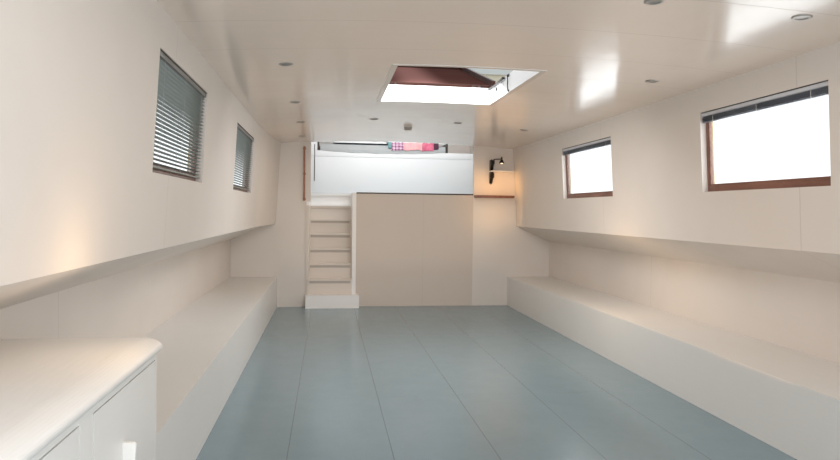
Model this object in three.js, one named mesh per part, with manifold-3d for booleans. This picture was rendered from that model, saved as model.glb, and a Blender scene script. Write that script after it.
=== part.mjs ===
// Saloon section of a houseboat made from a flat-bottomed steel barge.
// Millimetres. X runs across the boat (+X starboard), Y aft along it, Z up from the bottom plate.
// The section is cut off square at its forward end and closed by a steel bulkhead at its after end.
import * as THREE from "three";
import { mergeVertices } from "three/addons/utils/BufferGeometryUtils.js";
import Module from "manifold-3d";

const wasm = await Module();
wasm.setup();

// Length of the section
const CUT_Y = -5900;
const END_Y = 5900;
const BULKHEAD_Y = 2810;
const BULKHEAD_THICK = 60;
const STEP_UP_Y = BULKHEAD_Y + BULKHEAD_THICK;

// Hull cross-section
const HALF_BEAM = 2525;
const PLATE = 12;
const BILGE_RADIUS = 250;
const DECK_EDGE_Z = 1490;
const DECK_INNER_Z = 1542;
const STRAKE_OUT = 65;
const STRAKE_LOW_Z = 1360;
const STRAKE_HIGH_Z = 1470;
const TOE_RAIL_HIGH = 70;
const FLOOR_FRAME_PITCH = 500;

// Inside of the saloon
const FLOOR_Z = 260;
const FLOOR_THICK = 38;
const LINING_HALF = 2350;
const SOFFIT_OUTER_Z = 1224;
const DECK_LINE_Z = 1450;
const CABIN_HALF_LOW = 1830;
const CABIN_HALF_HIGH = 1760;
const CEILING_SIDE_Z = 2605;
const CEILING_RISE = 70;
const WALL_THICK = 95;
const ROOF_THICK = 85;
const ROOF_OVERHANG = 35;
const BENCH_FACE = 1700;
const BENCH_TOP_Z = 690;

// Windows of the saloon, seen on the inner face of the cabin side
const WINDOW_LOW_Z = 1830;
const WINDOW_HIGH_Z = 2420;
const REVEAL_DEEP = 44;
const FRAME_DEEP = 28;
const FRAME_WIDE = 30;
const FRAME_SILL = 44;
const GLASS_THICK = 6;
const BLIND_DEEP = 28;
const BLIND_INSET = 8;
const BLIND_SIDE_GAP = 8;
const BLIND_SILL_GAP = 24;
const HEADRAIL_HIGH = 32;
const STACK_HIGH = 46;

// The port side swells inboard as it nears the after bulkhead, where the hull draws in
const SWELL_FORE_Y = 700;
const SWELL_IN = 105;
const SWELL_CORNER_R = 90;

// Roof hatch
const HATCH_HALF = 510;
const HATCH_FORE_Y = -2280;
const HATCH_AFT_Y = -770;
const COAMING_WALL = 40;
const COAMING_RIM = 4;
const COAMING_TOP_Z = 2820;
const LID_THICK = 32;
const LID_LIP_THICK = 30;
const LID_LIP_DEEP = 45;
const LID_CLEAR = 12;
const LID_OPEN_DEG = 163;
const HINGE_X = 400;
const HINGE_OUT = 40;
const HINGE_PIN_R = 8;
const LUG_THICK = 12;
const LUG_APART = 64;
const LUG_R = 14;
const STRAP_WIDE = 40;
const STRAP_LONG = 300;
const STRAP_THICK = 6;

// After end: bulkhead opening, stairs, landing and berth
const OPENING_PORT_X = -1230;
const OPENING_STARBOARD_X = 1160;
const STAIR_PORT_X = -1290;
const STAIR_NOTCH_Z = 1780;
const PARAPET_X = -575;
const LANDING_Z = 1918;
const LANDING_THICK = 40;
const RISERS = 8;
const FIRST_RISE = 187;
const RISE = 215;
const GOING = 150;
const STAIR_FORE_Y = 2620;
const STRING_WIDE = 45;
const NEWEL_WIDE = 56;
const STRING_AHEAD = 20;
const NOSING_OUT = 18;
const NOSING_THICK = 26;
const FIRST_STEP_X = -530;
const BERTH_FORE_Y = 4400;
const BERTH_TOP_Z = 2616;
const MATTRESS_PORT_X = -1140;
const MATTRESS_STARBOARD_X = 1030;
const MATTRESS_INSET = 20;
const MATTRESS_HIGH = 180;
const BED_END_THICK = 24;
const BED_END_HIGH = 210;
const BLANKET = { x0: 20, x1: 890, long: 480, high: 64, overhang: 95, thick: 18 };

// Raised after cabin
const RAISED_CEILING_Z = 3710;
const RAISED_ROOF_THICK = 80;
const RAISED_CAMBER = 55;
const RAISED_WINDOW_LOW_Z = 2960;
const RAISED_WINDOW_HIGH_Z = 3480;
const DOOR_FORE_Y = 3705;
const DOOR_AFT_Y = 4365;
const DOOR_HIGH_Z = 3640;
const DOOR_THICK = 45;
const DOOR_PIN_R = 8;
const DOOR_PIN_LONG = 16;
const DOOR_PIN_OUT = 8;
const DOOR_PIN_IN = 12;
const RAISED_PANE_AT = 40;
const END_PANE_AT = 26;

// Sideboard built against the port side
const SIDEBOARD_FACE_X = -1630;
const SIDEBOARD_AFT_Y = -4240;
const SIDEBOARD_FORE_Y = -5880;
const STILE_FORE_Y = -5040;
const STILE_AFT_Y = -4940;
const SIDEBOARD_TOP_Z = 1160;
const SIDEBOARD_TOP_THICK = 58;
const TOP_OVERHANG = 18;
const NOSING_LOW_R = 22;
const NOSING_BACK = 85;
const PLINTH_HIGH = 90;
const BOARD = 20;
const SIDEBOARD_PIN_R = 5;

// Fittings on the after bulkhead
const RAIL = { x: -1320, out: 55, low: 1790, high: 2565, r: 13, bracketR: 9, roseR: 21, roseThick: 5 };
const SHELF_UPPER = { x0: 1395, x1: 1745, deep: 130, low: 2255, high: 2273 };
const SHELF_LOWER = { x0: 1172, x1: 1745, deep: 160, low: 1868, high: 1906 };
const BRACKET = { x0: 1398, x1: 1440, low: 2085, high: 2430 };
const LAMP = { elbowX: 1448, shadeX: 1560, out: 95, armZ: 2440, armR: 7, shadeLow: 2385, shadeR: 38 };

// Room left between faces that aren't square to the axes, and around a pin in its bore
const SEAM = 0.3;
// How far a cutting tool runs past the face that it cuts
const PAST = 5;
// Room left round a hung door, and at its hinged edge, where its corner swings through
const DOOR_GAP = 5;
const HINGE_GAP = 9;

const paint = {
  hull: { color: 0x23303a, roughness: 0.5, metalness: 0.1 },
  deck: { color: 0x6f7a78, roughness: 0.7, metalness: 0.1 },
  strake: { color: 0x1d1f21, roughness: 0.6, metalness: 0.2 },
  wall: { color: 0xe9e6e0, roughness: 0.45, metalness: 0 },
  ceiling: { color: 0xece8e2, roughness: 0.18, metalness: 0 },
  floor: { color: 0x8b9ba1, roughness: 0.3, metalness: 0 },
  joinery: { color: 0xe6e4de, roughness: 0.4, metalness: 0 },
  parapet: { color: 0xcfc6bd, roughness: 0.5, metalness: 0 },
  mahogany: { color: 0x6b3a26, roughness: 0.4, metalness: 0 },
  glass: { color: 0xdfe9ea, roughness: 0.05, metalness: 0 },
  slats: { color: 0x6f7672, roughness: 0.4, metalness: 0.3 },
  fabric: { color: 0x8c979a, roughness: 0.9, metalness: 0 },
  blanket: { color: 0xb65a6e, roughness: 0.95, metalness: 0 },
  brass: { color: 0xa8714a, roughness: 0.3, metalness: 0.9 },
  lamp: { color: 0x1c1a18, roughness: 0.35, metalness: 0.6 },
};

const houseboat = new THREE.Group();

// Geometry helpers: closed prisms along each axis, and joins and cuts of closed solids

function outline(points) {
  return new THREE.Shape(points.map(([a, b]) => new THREE.Vector2(a, b)));
}

function prism(points, length, basis, origin) {
  const geometry = new THREE.ExtrudeGeometry(outline(points), { depth: length, bevelEnabled: false });
  const [x, y, z] = basis.map((v) => new THREE.Vector3(...v));
  geometry.applyMatrix4(new THREE.Matrix4().makeBasis(x, y, z));
  return geometry.translate(...origin);
}

// Points are (x, z), swept along Y from y0 to y1.
function prismY(points, y0, y1) {
  return prism(points, y1 - y0, [[1, 0, 0], [0, 0, 1], [0, -1, 0]], [0, y1, 0]);
}

// Points are (y, z), swept along X from x0 to x1.
function prismX(points, x0, x1) {
  return prism(points, x1 - x0, [[0, 1, 0], [0, 0, 1], [1, 0, 0]], [x0, 0, 0]);
}

function block(x0, x1, y0, y1, z0, z1) {
  const [xa, xb] = [Math.min(x0, x1), Math.max(x0, x1)];
  const geometry = new THREE.BoxGeometry(xb - xa, y1 - y0, z1 - z0);
  return geometry.translate((xa + xb) / 2, (y0 + y1) / 2, (z0 + z1) / 2);
}

// A round bar of radius r from one point to another.
function bar(from, to, r, sides = 16) {
  const a = new THREE.Vector3(...from);
  const b = new THREE.Vector3(...to);
  const axis = b.clone().sub(a);
  const geometry = new THREE.CylinderGeometry(r, r, axis.length(), sides);
  const turn = new THREE.Quaternion().setFromUnitVectors(new THREE.Vector3(0, 1, 0), axis.normalize());
  geometry.applyQuaternion(turn);
  return geometry.translate(...a.add(b).multiplyScalar(0.5).toArray());
}

function solidOf(geometry) {
  const bare = (geometry.index ? geometry.toNonIndexed() : geometry).clone();
  bare.deleteAttribute("normal");
  bare.deleteAttribute("uv");
  const merged = mergeVertices(bare, 1e-3);
  return new wasm.Manifold(
    new wasm.Mesh({
      numProp: 3,
      vertProperties: new Float32Array(merged.attributes.position.array),
      triVerts: new Uint32Array(merged.index.array),
    }),
  );
}

function geometryOf(solid) {
  const mesh = solid.getMesh();
  const geometry = new THREE.BufferGeometry();
  const positions = new Float32Array(mesh.numVert * 3);
  for (let i = 0; i < mesh.numVert; i += 1) {
    positions.set(mesh.vertProperties.subarray(i * mesh.numProp, i * mesh.numProp + 3), i * 3);
  }
  geometry.setAttribute("position", new THREE.BufferAttribute(positions, 3));
  geometry.setIndex(new THREE.BufferAttribute(new Uint32Array(mesh.triVerts), 1));
  geometry.computeVertexNormals();
  return geometry;
}

function join(...geometries) {
  return geometryOf(geometries.map(solidOf).reduce((a, b) => a.add(b)));
}

function cut(geometry, ...tools) {
  return geometryOf(tools.map(solidOf).reduce((a, b) => a.subtract(b), solidOf(geometry)));
}

function shared(a, b) {
  return geometryOf(solidOf(a).intersect(solidOf(b)));
}

function piece(name, geometry, finish, parent = houseboat) {
  const mesh = new THREE.Mesh(geometry, new THREE.MeshStandardMaterial(paint[finish]));
  mesh.name = name;
  parent.add(mesh);
  return mesh;
}

// Sides of the boat: s is the sign of X
const SIDES = [
  { side: "port", s: -1 },
  { side: "starboard", s: 1 },
];

const mirrored = (s, points) => points.map(([x, z]) => [s * x, z]);

// Points of an elliptical arc about (cx, cz) from angle a0 to a1, in degrees
function arc(cx, cz, rx, rz, a0, a1, steps = 6) {
  return Array.from({ length: steps + 1 }, (_, i) => {
    const a = THREE.MathUtils.degToRad(a0 + ((a1 - a0) * i) / steps);
    return [cx + rx * Math.cos(a), cz + rz * Math.sin(a)];
  });
}

// Half-width of the cabin's inner face at a height: the sides lean in as they rise
const LEAN = (CABIN_HALF_LOW - CABIN_HALF_HIGH) / (CEILING_SIDE_Z - DECK_LINE_Z);
const cabinHalf = (z) => CABIN_HALF_LOW - (z - DECK_LINE_Z) * LEAN;

// Points of a cambered curve from -half to +half
function camber(half, sideZ, rise, steps = 16) {
  return Array.from({ length: steps + 1 }, (_, i) => {
    const t = (2 * i) / steps - 1;
    return [t * half, sideZ + rise * (1 - t * t)];
  });
}

// A group whose local x points out through the cabin side and whose local z runs up along it
const LEAN_ANGLE = Math.atan(LEAN);
function wallGroup(s) {
  const group = new THREE.Group();
  group.position.set(s * CABIN_HALF_LOW, 0, DECK_LINE_Z);
  group.rotation.y = -s * LEAN_ANGLE;
  group.updateMatrix();
  houseboat.add(group);
  return group;
}
const wallHeight = (z) => (z - DECK_LINE_Z) / Math.cos(LEAN_ANGLE);

// Hull: bottom plate with its floor frames, side plates with a round bilge, decks and rubbing strakes

function buildHull() {
  const frames = [];
  const frameTop = FLOOR_Z - FLOOR_THICK;
  const frameHalf = HALF_BEAM - BILGE_RADIUS - 75;
  for (let y = CUT_Y + FLOOR_FRAME_PITCH / 2; y < END_Y; y += FLOOR_FRAME_PITCH) {
    frames.push(block(-frameHalf, frameHalf, y - PLATE / 2, y + PLATE / 2, PLATE, frameTop));
  }
  const flat = HALF_BEAM - BILGE_RADIUS;
  piece("hull_bottom", join(block(-flat, flat, CUT_Y, END_Y, 0, PLATE), ...frames), "hull");

  for (const { side, s } of SIDES) {
    const bilge = (r) => arc(flat, BILGE_RADIUS, r, r, -90, 0);
    const topZ = DECK_EDGE_Z - PLATE - SEAM;
    const plating = [
      ...bilge(BILGE_RADIUS),
      [HALF_BEAM, topZ],
      [HALF_BEAM - PLATE, topZ],
      ...bilge(BILGE_RADIUS - PLATE).reverse(),
    ];
    piece(`hull_side_${side}`, prismY(mirrored(s, plating), CUT_Y, END_Y), "hull");

    const innerX = cabinHalf(DECK_INNER_Z - PLATE) + WALL_THICK + SEAM;
    const deck = [
      [HALF_BEAM, DECK_EDGE_Z - PLATE],
      [HALF_BEAM, DECK_EDGE_Z + TOE_RAIL_HIGH],
      [HALF_BEAM - PLATE, DECK_EDGE_Z + TOE_RAIL_HIGH],
      [HALF_BEAM - PLATE, DECK_EDGE_Z],
      [innerX, DECK_INNER_Z],
      [innerX, DECK_INNER_Z - PLATE],
    ];
    piece(`side_deck_${side}`, prismY(mirrored(s, deck), CUT_Y, END_Y), "deck");

    const midZ = (STRAKE_LOW_Z + STRAKE_HIGH_Z) / 2;
    const halfHigh = (STRAKE_HIGH_Z - STRAKE_LOW_Z) / 2;
    const strake = arc(HALF_BEAM, midZ, STRAKE_OUT, halfHigh, -90, 90, 8);
    piece(`rubbing_strake_${side}`, prismY(mirrored(s, strake), CUT_Y, END_Y), "strake");
  }
}

// Linings: insulated white boarding down the hull side and up under the side deck, floor and benches

function buildLinings() {
  const boards = block(-LINING_HALF, LINING_HALF, CUT_Y, END_Y - PLATE, FLOOR_Z - FLOOR_THICK, FLOOR_Z);
  piece("saloon_floor", boards, "floor");
  for (const { side, s } of SIDES) {
    const outer = HALF_BEAM - PLATE - SEAM;
    const deckUnder = (x) => {
      const t = (HALF_BEAM - x) / (HALF_BEAM - cabinHalf(DECK_INNER_Z) - WALL_THICK);
      return DECK_EDGE_Z + (DECK_INNER_Z - DECK_EDGE_Z) * t - PLATE - 2 * SEAM;
    };
    const cabinOuter = (z) => cabinHalf(z) + WALL_THICK + SEAM;
    const upperZ = DECK_INNER_Z - PLATE - 1;
    const lining = [
      [CABIN_HALF_LOW, DECK_LINE_Z],
      [cabinOuter(DECK_LINE_Z), DECK_LINE_Z],
      [cabinOuter(upperZ), upperZ],
      [outer, deckUnder(outer)],
      [outer, FLOOR_Z],
      [LINING_HALF, FLOOR_Z],
      [LINING_HALF, SOFFIT_OUTER_Z],
    ];
    piece(`side_lining_${side}`, prismY(mirrored(s, lining), CUT_Y, END_Y - PLATE), "wall");

    const foreY = s < 0 ? SIDEBOARD_AFT_Y + SEAM : CUT_Y;
    const bench = block(s * BENCH_FACE, s * LINING_HALF, foreY, BULKHEAD_Y, FLOOR_Z, BENCH_TOP_Z);
    piece(`bench_${side}`, bench, "joinery");
  }
}

// Windows in the saloon's sides: y0 and y1 are the ends of the opening

const WINDOWS = [
  { name: "port_fore", s: -1, y0: -3595, y1: -2340, lowered: true },
  { name: "port_aft", s: -1, y0: -890, y1: 490, lowered: true },
  { name: "starboard_fore", s: 1, y0: -3520, y1: -2230, lowered: false },
  { name: "starboard_aft", s: 1, y0: -640, y1: 750, lowered: false },
];

// Filler that brings the port lining inboard in a curve, with its lower after corner rounded off.
// It is drawn in the port wall's own axes, where inboard is +x.
function portSwell() {
  const long = BULKHEAD_Y - SWELL_FORE_Y;
  const depth = (t) => SWELL_IN * t * t;
  const steps = 12;
  const face = Array.from({ length: steps }, (_, i) => {
    const t = (i + 1) / steps;
    return [depth(t), SWELL_FORE_Y + long * t];
  });
  const plan = [[-5, SWELL_FORE_Y], [0, SWELL_FORE_Y], ...face, [-5, BULKHEAD_Y]];
  const high = wallHeight(CEILING_SIDE_Z) + SWELL_IN;
  const upright = prism(plan, high, [[1, 0, 0], [0, 1, 0], [0, 0, 1]], [0, 0, 0]);
  const corner = arc(BULKHEAD_Y - SWELL_CORNER_R, SWELL_CORNER_R, SWELL_CORNER_R, SWELL_CORNER_R, -90, 0);
  const side = [[SWELL_FORE_Y, 0], ...corner, [BULKHEAD_Y, high], [SWELL_FORE_Y, high]];
  return shared(upright, prismX(side, -10, SWELL_IN + 10));
}

function withSwell(slab, matrix) {
  const ceiling = camber(CABIN_HALF_HIGH, CEILING_SIDE_Z - SEAM, CEILING_RISE);
  const below = [[-CABIN_HALF_LOW - WALL_THICK, DECK_LINE_Z], [0, DECK_LINE_Z], ...ceiling.reverse()];
  const inside = prismY(below.filter(([x]) => x <= 0), SWELL_FORE_Y, BULKHEAD_Y);
  return join(slab, shared(portSwell().applyMatrix4(matrix), inside));
}

function buildCabinSides() {
  const v0 = wallHeight(WINDOW_LOW_Z);
  const v1 = wallHeight(WINDOW_HIGH_Z);
  for (const { side, s } of SIDES) {
    const group = wallGroup(s);
    const wall = [
      [CABIN_HALF_LOW, DECK_LINE_Z],
      [CABIN_HALF_LOW + WALL_THICK, DECK_LINE_Z],
      [CABIN_HALF_HIGH + WALL_THICK, CEILING_SIDE_Z],
      [CABIN_HALF_HIGH, CEILING_SIDE_Z],
    ];
    const own = WINDOWS.filter((w) => w.s === s);
    const holes = own.map((w) => block(-s * PAST, s * (WALL_THICK + PAST), w.y0, w.y1, v0, v1));
    holes.forEach((hole) => hole.applyMatrix4(group.matrix));
    const slab = cut(prismY(mirrored(s, wall), CUT_Y, STEP_UP_Y), ...holes);
    piece(`cabin_side_${side}`, s < 0 ? withSwell(slab, group.matrix) : slab, "wall");

    for (const w of own) {
      const [y0, y1] = [w.y0 + SEAM, w.y1 - SEAM];
      const [low, high] = [v0 + SEAM, v1 - SEAM];
      const frameOut = REVEAL_DEEP + FRAME_DEEP;
      const light = [y0 + FRAME_WIDE, y1 - FRAME_WIDE, low + FRAME_SILL, high - FRAME_WIDE];
      const frame = cut(
        block(s * REVEAL_DEEP, s * frameOut, y0, y1, low, high),
        block(s * (REVEAL_DEEP - PAST), s * (frameOut + PAST), ...light),
      );
      piece(`window_frame_${w.name}`, frame, "mahogany", group);

      const paneAt = REVEAL_DEEP + FRAME_DEEP / 2 - GLASS_THICK / 2;
      const [a, b, c, d] = light;
      const pane = block(s * paneAt, s * (paneAt + GLASS_THICK), a + SEAM, b - SEAM, c + SEAM, d - SEAM);
      piece(`window_glass_${w.name}`, pane, "glass", group);

      const bottom = w.lowered ? low + BLIND_SILL_GAP : high - HEADRAIL_HIGH - STACK_HIGH;
      const [b0, b1] = [y0 + BLIND_SIDE_GAP, y1 - BLIND_SIDE_GAP];
      const blind = block(s * BLIND_INSET, s * (BLIND_INSET + BLIND_DEEP), b0, b1, bottom, high);
      piece(`blind_${w.name}`, blind, "slats", group);
    }
  }
}

// Saloon roof with its hatch

function buildRoof() {
  const under = camber(CABIN_HALF_HIGH, CEILING_SIDE_Z, CEILING_RISE);
  const edge = CABIN_HALF_HIGH + WALL_THICK + ROOF_OVERHANG;
  const over = camber(edge, CEILING_SIDE_Z + ROOF_THICK - 20, CEILING_RISE + 20);
  const roof = [[-edge, CEILING_SIDE_Z], ...under, [edge, CEILING_SIDE_Z], ...over.reverse()];
  const outer = HATCH_HALF + COAMING_WALL;
  const foreY = HATCH_FORE_Y - COAMING_WALL;
  const aftY = HATCH_AFT_Y + COAMING_WALL;
  const hole = block(-outer - SEAM, outer + SEAM, foreY - SEAM, aftY + SEAM, CEILING_SIDE_Z, COAMING_TOP_Z);
  piece("saloon_roof", cut(prismY(roof, CUT_Y, STEP_UP_Y), hole), "ceiling");

  // Coaming: a ring through the roof, its lower edge cambered like the ceiling, and two hinge lug pairs
  const axisY = aftY + HINGE_OUT;
  const axisZ = COAMING_TOP_Z + PAST + LID_THICK / 2;
  const steps = 8;
  const rim = Array.from({ length: steps + 1 }, (_, i) => {
    const x = outer * ((2 * i) / steps - 1);
    return [x, CEILING_SIDE_Z + CEILING_RISE * (1 - (x / CABIN_HALF_HIGH) ** 2) - COAMING_RIM];
  });
  const ring = cut(
    prismY([...rim, [outer, COAMING_TOP_Z], [-outer, COAMING_TOP_Z]], foreY, aftY),
    block(-HATCH_HALF, HATCH_HALF, HATCH_FORE_Y, HATCH_AFT_Y, CEILING_SIDE_Z, COAMING_TOP_Z + PAST),
  );
  const lugs = [];
  for (const x of [-HINGE_X, HINGE_X]) {
    for (const at of [x - LUG_APART / 2, x + LUG_APART / 2]) {
      const [x0, x1] = [at - LUG_THICK / 2, at + LUG_THICK / 2];
      lugs.push(block(x0, x1, aftY - 1, axisY + LUG_R, COAMING_TOP_Z - HINGE_OUT, COAMING_TOP_Z));
      lugs.push(block(x0, x1, axisY - LUG_R, axisY + LUG_R, COAMING_TOP_Z - 1, axisZ));
      lugs.push(bar([x0, axisY, axisZ], [x1, axisY, axisZ], LUG_R));
    }
    const reach = LUG_APART / 2 + LUG_THICK;
    lugs.push(bar([x - reach, axisY, axisZ], [x + reach, axisY, axisZ], HINGE_PIN_R));
  }
  piece("hatch_coaming", join(ring, ...lugs), "ceiling");

  // Lid: a leaf with a deep lip on three edges, on two strap hinges and folded back past upright.
  // Its origin is the hinge axis, and it is drawn shut.
  const hinge = new THREE.Group();
  hinge.position.set(0, axisY, axisZ);
  hinge.rotation.x = THREE.MathUtils.degToRad(-LID_OPEN_DEG);
  houseboat.add(hinge);
  const half = outer + LID_CLEAR + LID_LIP_THICK;
  const lidFore = foreY - LID_CLEAR - LID_LIP_THICK - axisY;
  const lidAft = -LUG_R - HINGE_PIN_R - 2 * PAST;
  const under0 = -LID_THICK / 2;
  const lipLow = under0 - LID_LIP_DEEP;
  const leaf = join(
    block(-half, half, lidFore, lidAft, under0, LID_THICK / 2),
    block(-half, -half + LID_LIP_THICK, lidFore, lidAft, lipLow, LID_THICK / 2),
    block(half - LID_LIP_THICK, half, lidFore, lidAft, lipLow, LID_THICK / 2),
    block(-half, half, lidFore, lidFore + LID_LIP_THICK, lipLow, LID_THICK / 2),
  );
  const eyeR = LID_THICK / 2;
  const straps = [-HINGE_X, HINGE_X].flatMap((x) => {
    const [x0, x1] = [x - STRAP_WIDE / 2, x + STRAP_WIDE / 2];
    const [low, high] = [(LID_THICK - STRAP_THICK) / 2, (LID_THICK + STRAP_THICK) / 2];
    const flat = block(x0, x1, -STRAP_LONG, 0, low, high);
    const eye = bar([x0, 0, 0], [x1, 0, 0], eyeR);
    const bore = bar([x0 - PAST, 0, 0], [x1 + PAST, 0, 0], HINGE_PIN_R + SEAM);
    return [cut(join(flat, eye), bore)];
  });
  piece("hatch_lid", join(leaf, ...straps), "mahogany", hinge);
}

// After end of the saloon: bulkheads each side, parapet, stairs and landing

function buildAfterEnd() {
  const ceiling = (x) => CEILING_SIDE_Z + CEILING_RISE * (1 - (x / CABIN_HALF_HIGH) ** 2) - SEAM;
  const openings = { port: OPENING_PORT_X, starboard: OPENING_STARBOARD_X };
  for (const { side, s } of SIDES) {
    const edge = Math.abs(openings[side]);
    const top = camber(CABIN_HALF_HIGH, CEILING_SIDE_Z - SEAM, CEILING_RISE).filter(([x]) => x > edge);
    const well = -STAIR_PORT_X + SEAM;
    const foot = s < 0 ? [[edge, STAIR_NOTCH_Z], [well, STAIR_NOTCH_Z], [well, FLOOR_Z]] : [[edge, FLOOR_Z]];
    const bulkhead = [
      ...foot,
      [LINING_HALF - SEAM, FLOOR_Z],
      [LINING_HALF - SEAM, SOFFIT_OUTER_Z - SEAM],
      [CABIN_HALF_LOW - SEAM, DECK_LINE_Z - SEAM],
      [CABIN_HALF_HIGH - 2 * SEAM, CEILING_SIDE_Z - SEAM],
      ...top.reverse().slice(1),
      [edge, ceiling(edge) - 1],
    ];
    piece(`bulkhead_${side}`, prismY(mirrored(s, bulkhead), BULKHEAD_Y, STEP_UP_Y), "wall");
  }
  const panel = block(PARAPET_X, OPENING_STARBOARD_X, BULKHEAD_Y, STEP_UP_Y, FLOOR_Z, LANDING_Z);
  piece("parapet", panel, "parapet");

  // Stairs: a wide box step, then treads with a nosing over closed risers, between a string and a newel
  // The last riser makes up what is left to the landing
  const stepZ = FLOOR_Z + FIRST_RISE;
  const profile = [[STAIR_FORE_Y, FLOOR_Z]];
  for (let i = 0; i < RISERS; i += 1) {
    const y = STAIR_FORE_Y + i * GOING;
    const z = Math.min(stepZ + i * RISE, LANDING_Z);
    if (i > 0) profile.push([y, z - NOSING_THICK], [y - NOSING_OUT, z - NOSING_THICK]);
    profile.push([i > 0 ? y - NOSING_OUT : y, z]);
    if (i < RISERS - 1) profile.push([y + GOING, z]);
  }
  const landingY = STAIR_FORE_Y + (RISERS - 1) * GOING + 60;
  profile.push([landingY, LANDING_Z], [landingY, FLOOR_Z]);
  const [x0, x1] = [STAIR_PORT_X, PARAPET_X - SEAM];
  const sideY = BULKHEAD_Y - STRING_AHEAD;
  const stairs = join(
    prismX(profile, x0 + STRING_WIDE / 2, x1 - NEWEL_WIDE / 2),
    block(x0, x0 + STRING_WIDE, sideY, landingY, FLOOR_Z, STAIR_NOTCH_Z - SEAM),
    block(x1 - NEWEL_WIDE, x1, sideY, landingY, FLOOR_Z, LANDING_Z),
    block(x0, FIRST_STEP_X, STAIR_FORE_Y, BULKHEAD_Y - SEAM, FLOOR_Z, stepZ),
  );
  piece("companion_stairs", stairs, "joinery");

  // Landing: a floor round the stairwell, with the panels that close its sides down to the saloon floor
  const under = LANDING_Z - LANDING_THICK;
  const half = cabinHalf(under) - 8;
  const landing = join(
    cut(
      block(-half, half, STEP_UP_Y, END_Y - BULKHEAD_THICK, under, LANDING_Z),
      block(x0, PARAPET_X, STEP_UP_Y - PAST, landingY, under - PAST, LANDING_Z + PAST),
    ),
    block(x0 - BOARD, x0 - SEAM, STEP_UP_Y, landingY, FLOOR_Z, LANDING_Z),
    block(PARAPET_X, PARAPET_X + BOARD, STEP_UP_Y, landingY, FLOOR_Z, LANDING_Z),
  );
  piece("landing", landing, "floor");
}

// Berth across the after end, with the bed's dark ends, its mattress and the folded blankets over its edge

function buildBerth() {
  const half = cabinHalf(BERTH_TOP_Z) - 6;
  const backY = END_Y - BULKHEAD_THICK;
  piece("berth", block(-half, half, BERTH_FORE_Y, backY, LANDING_Z, BERTH_TOP_Z), "joinery");
  const [foreY, aftY] = [BERTH_FORE_Y + MATTRESS_INSET, backY - MATTRESS_INSET];
  const low = BERTH_TOP_Z + SEAM;
  const top = BERTH_TOP_Z + MATTRESS_HIGH;
  piece("mattress", block(MATTRESS_PORT_X, MATTRESS_STARBOARD_X, foreY, aftY, low, top), "fabric");
  for (const [side, at] of [["port", MATTRESS_PORT_X - SEAM], ["starboard", MATTRESS_STARBOARD_X + SEAM]]) {
    const out = at + Math.sign(at) * BED_END_THICK;
    const board = block(at, out, foreY - 5, aftY, BERTH_TOP_Z, BERTH_TOP_Z + BED_END_HIGH);
    piece(`bed_end_${side}`, board, "lamp");
  }
  const b = BLANKET;
  const blankets = join(
    block(b.x0, b.x1, foreY - SEAM - b.thick, foreY + b.long, top + SEAM, top + b.high),
    block(b.x0, b.x1, foreY - SEAM - b.thick, foreY - SEAM, top - b.overhang, top + b.high / 2),
  );
  piece("blankets", blankets, "blanket");
}

// Raised cabin over the landing and berth. Its panes fill their openings from y0 to y1.

const RAISED_WINDOWS = [
  { name: "raised_port", s: -1, y0: 4720, y1: 5560 },
  { name: "raised_starboard_fore", s: 1, y0: 3300, y1: 4300 },
  { name: "raised_starboard_aft", s: 1, y0: 4620, y1: 5560 },
];
const END_WINDOWS = [
  { name: "end_port", x0: -1350, x1: -150 },
  { name: "end_starboard", x0: 150, x1: 1350 },
];

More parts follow.
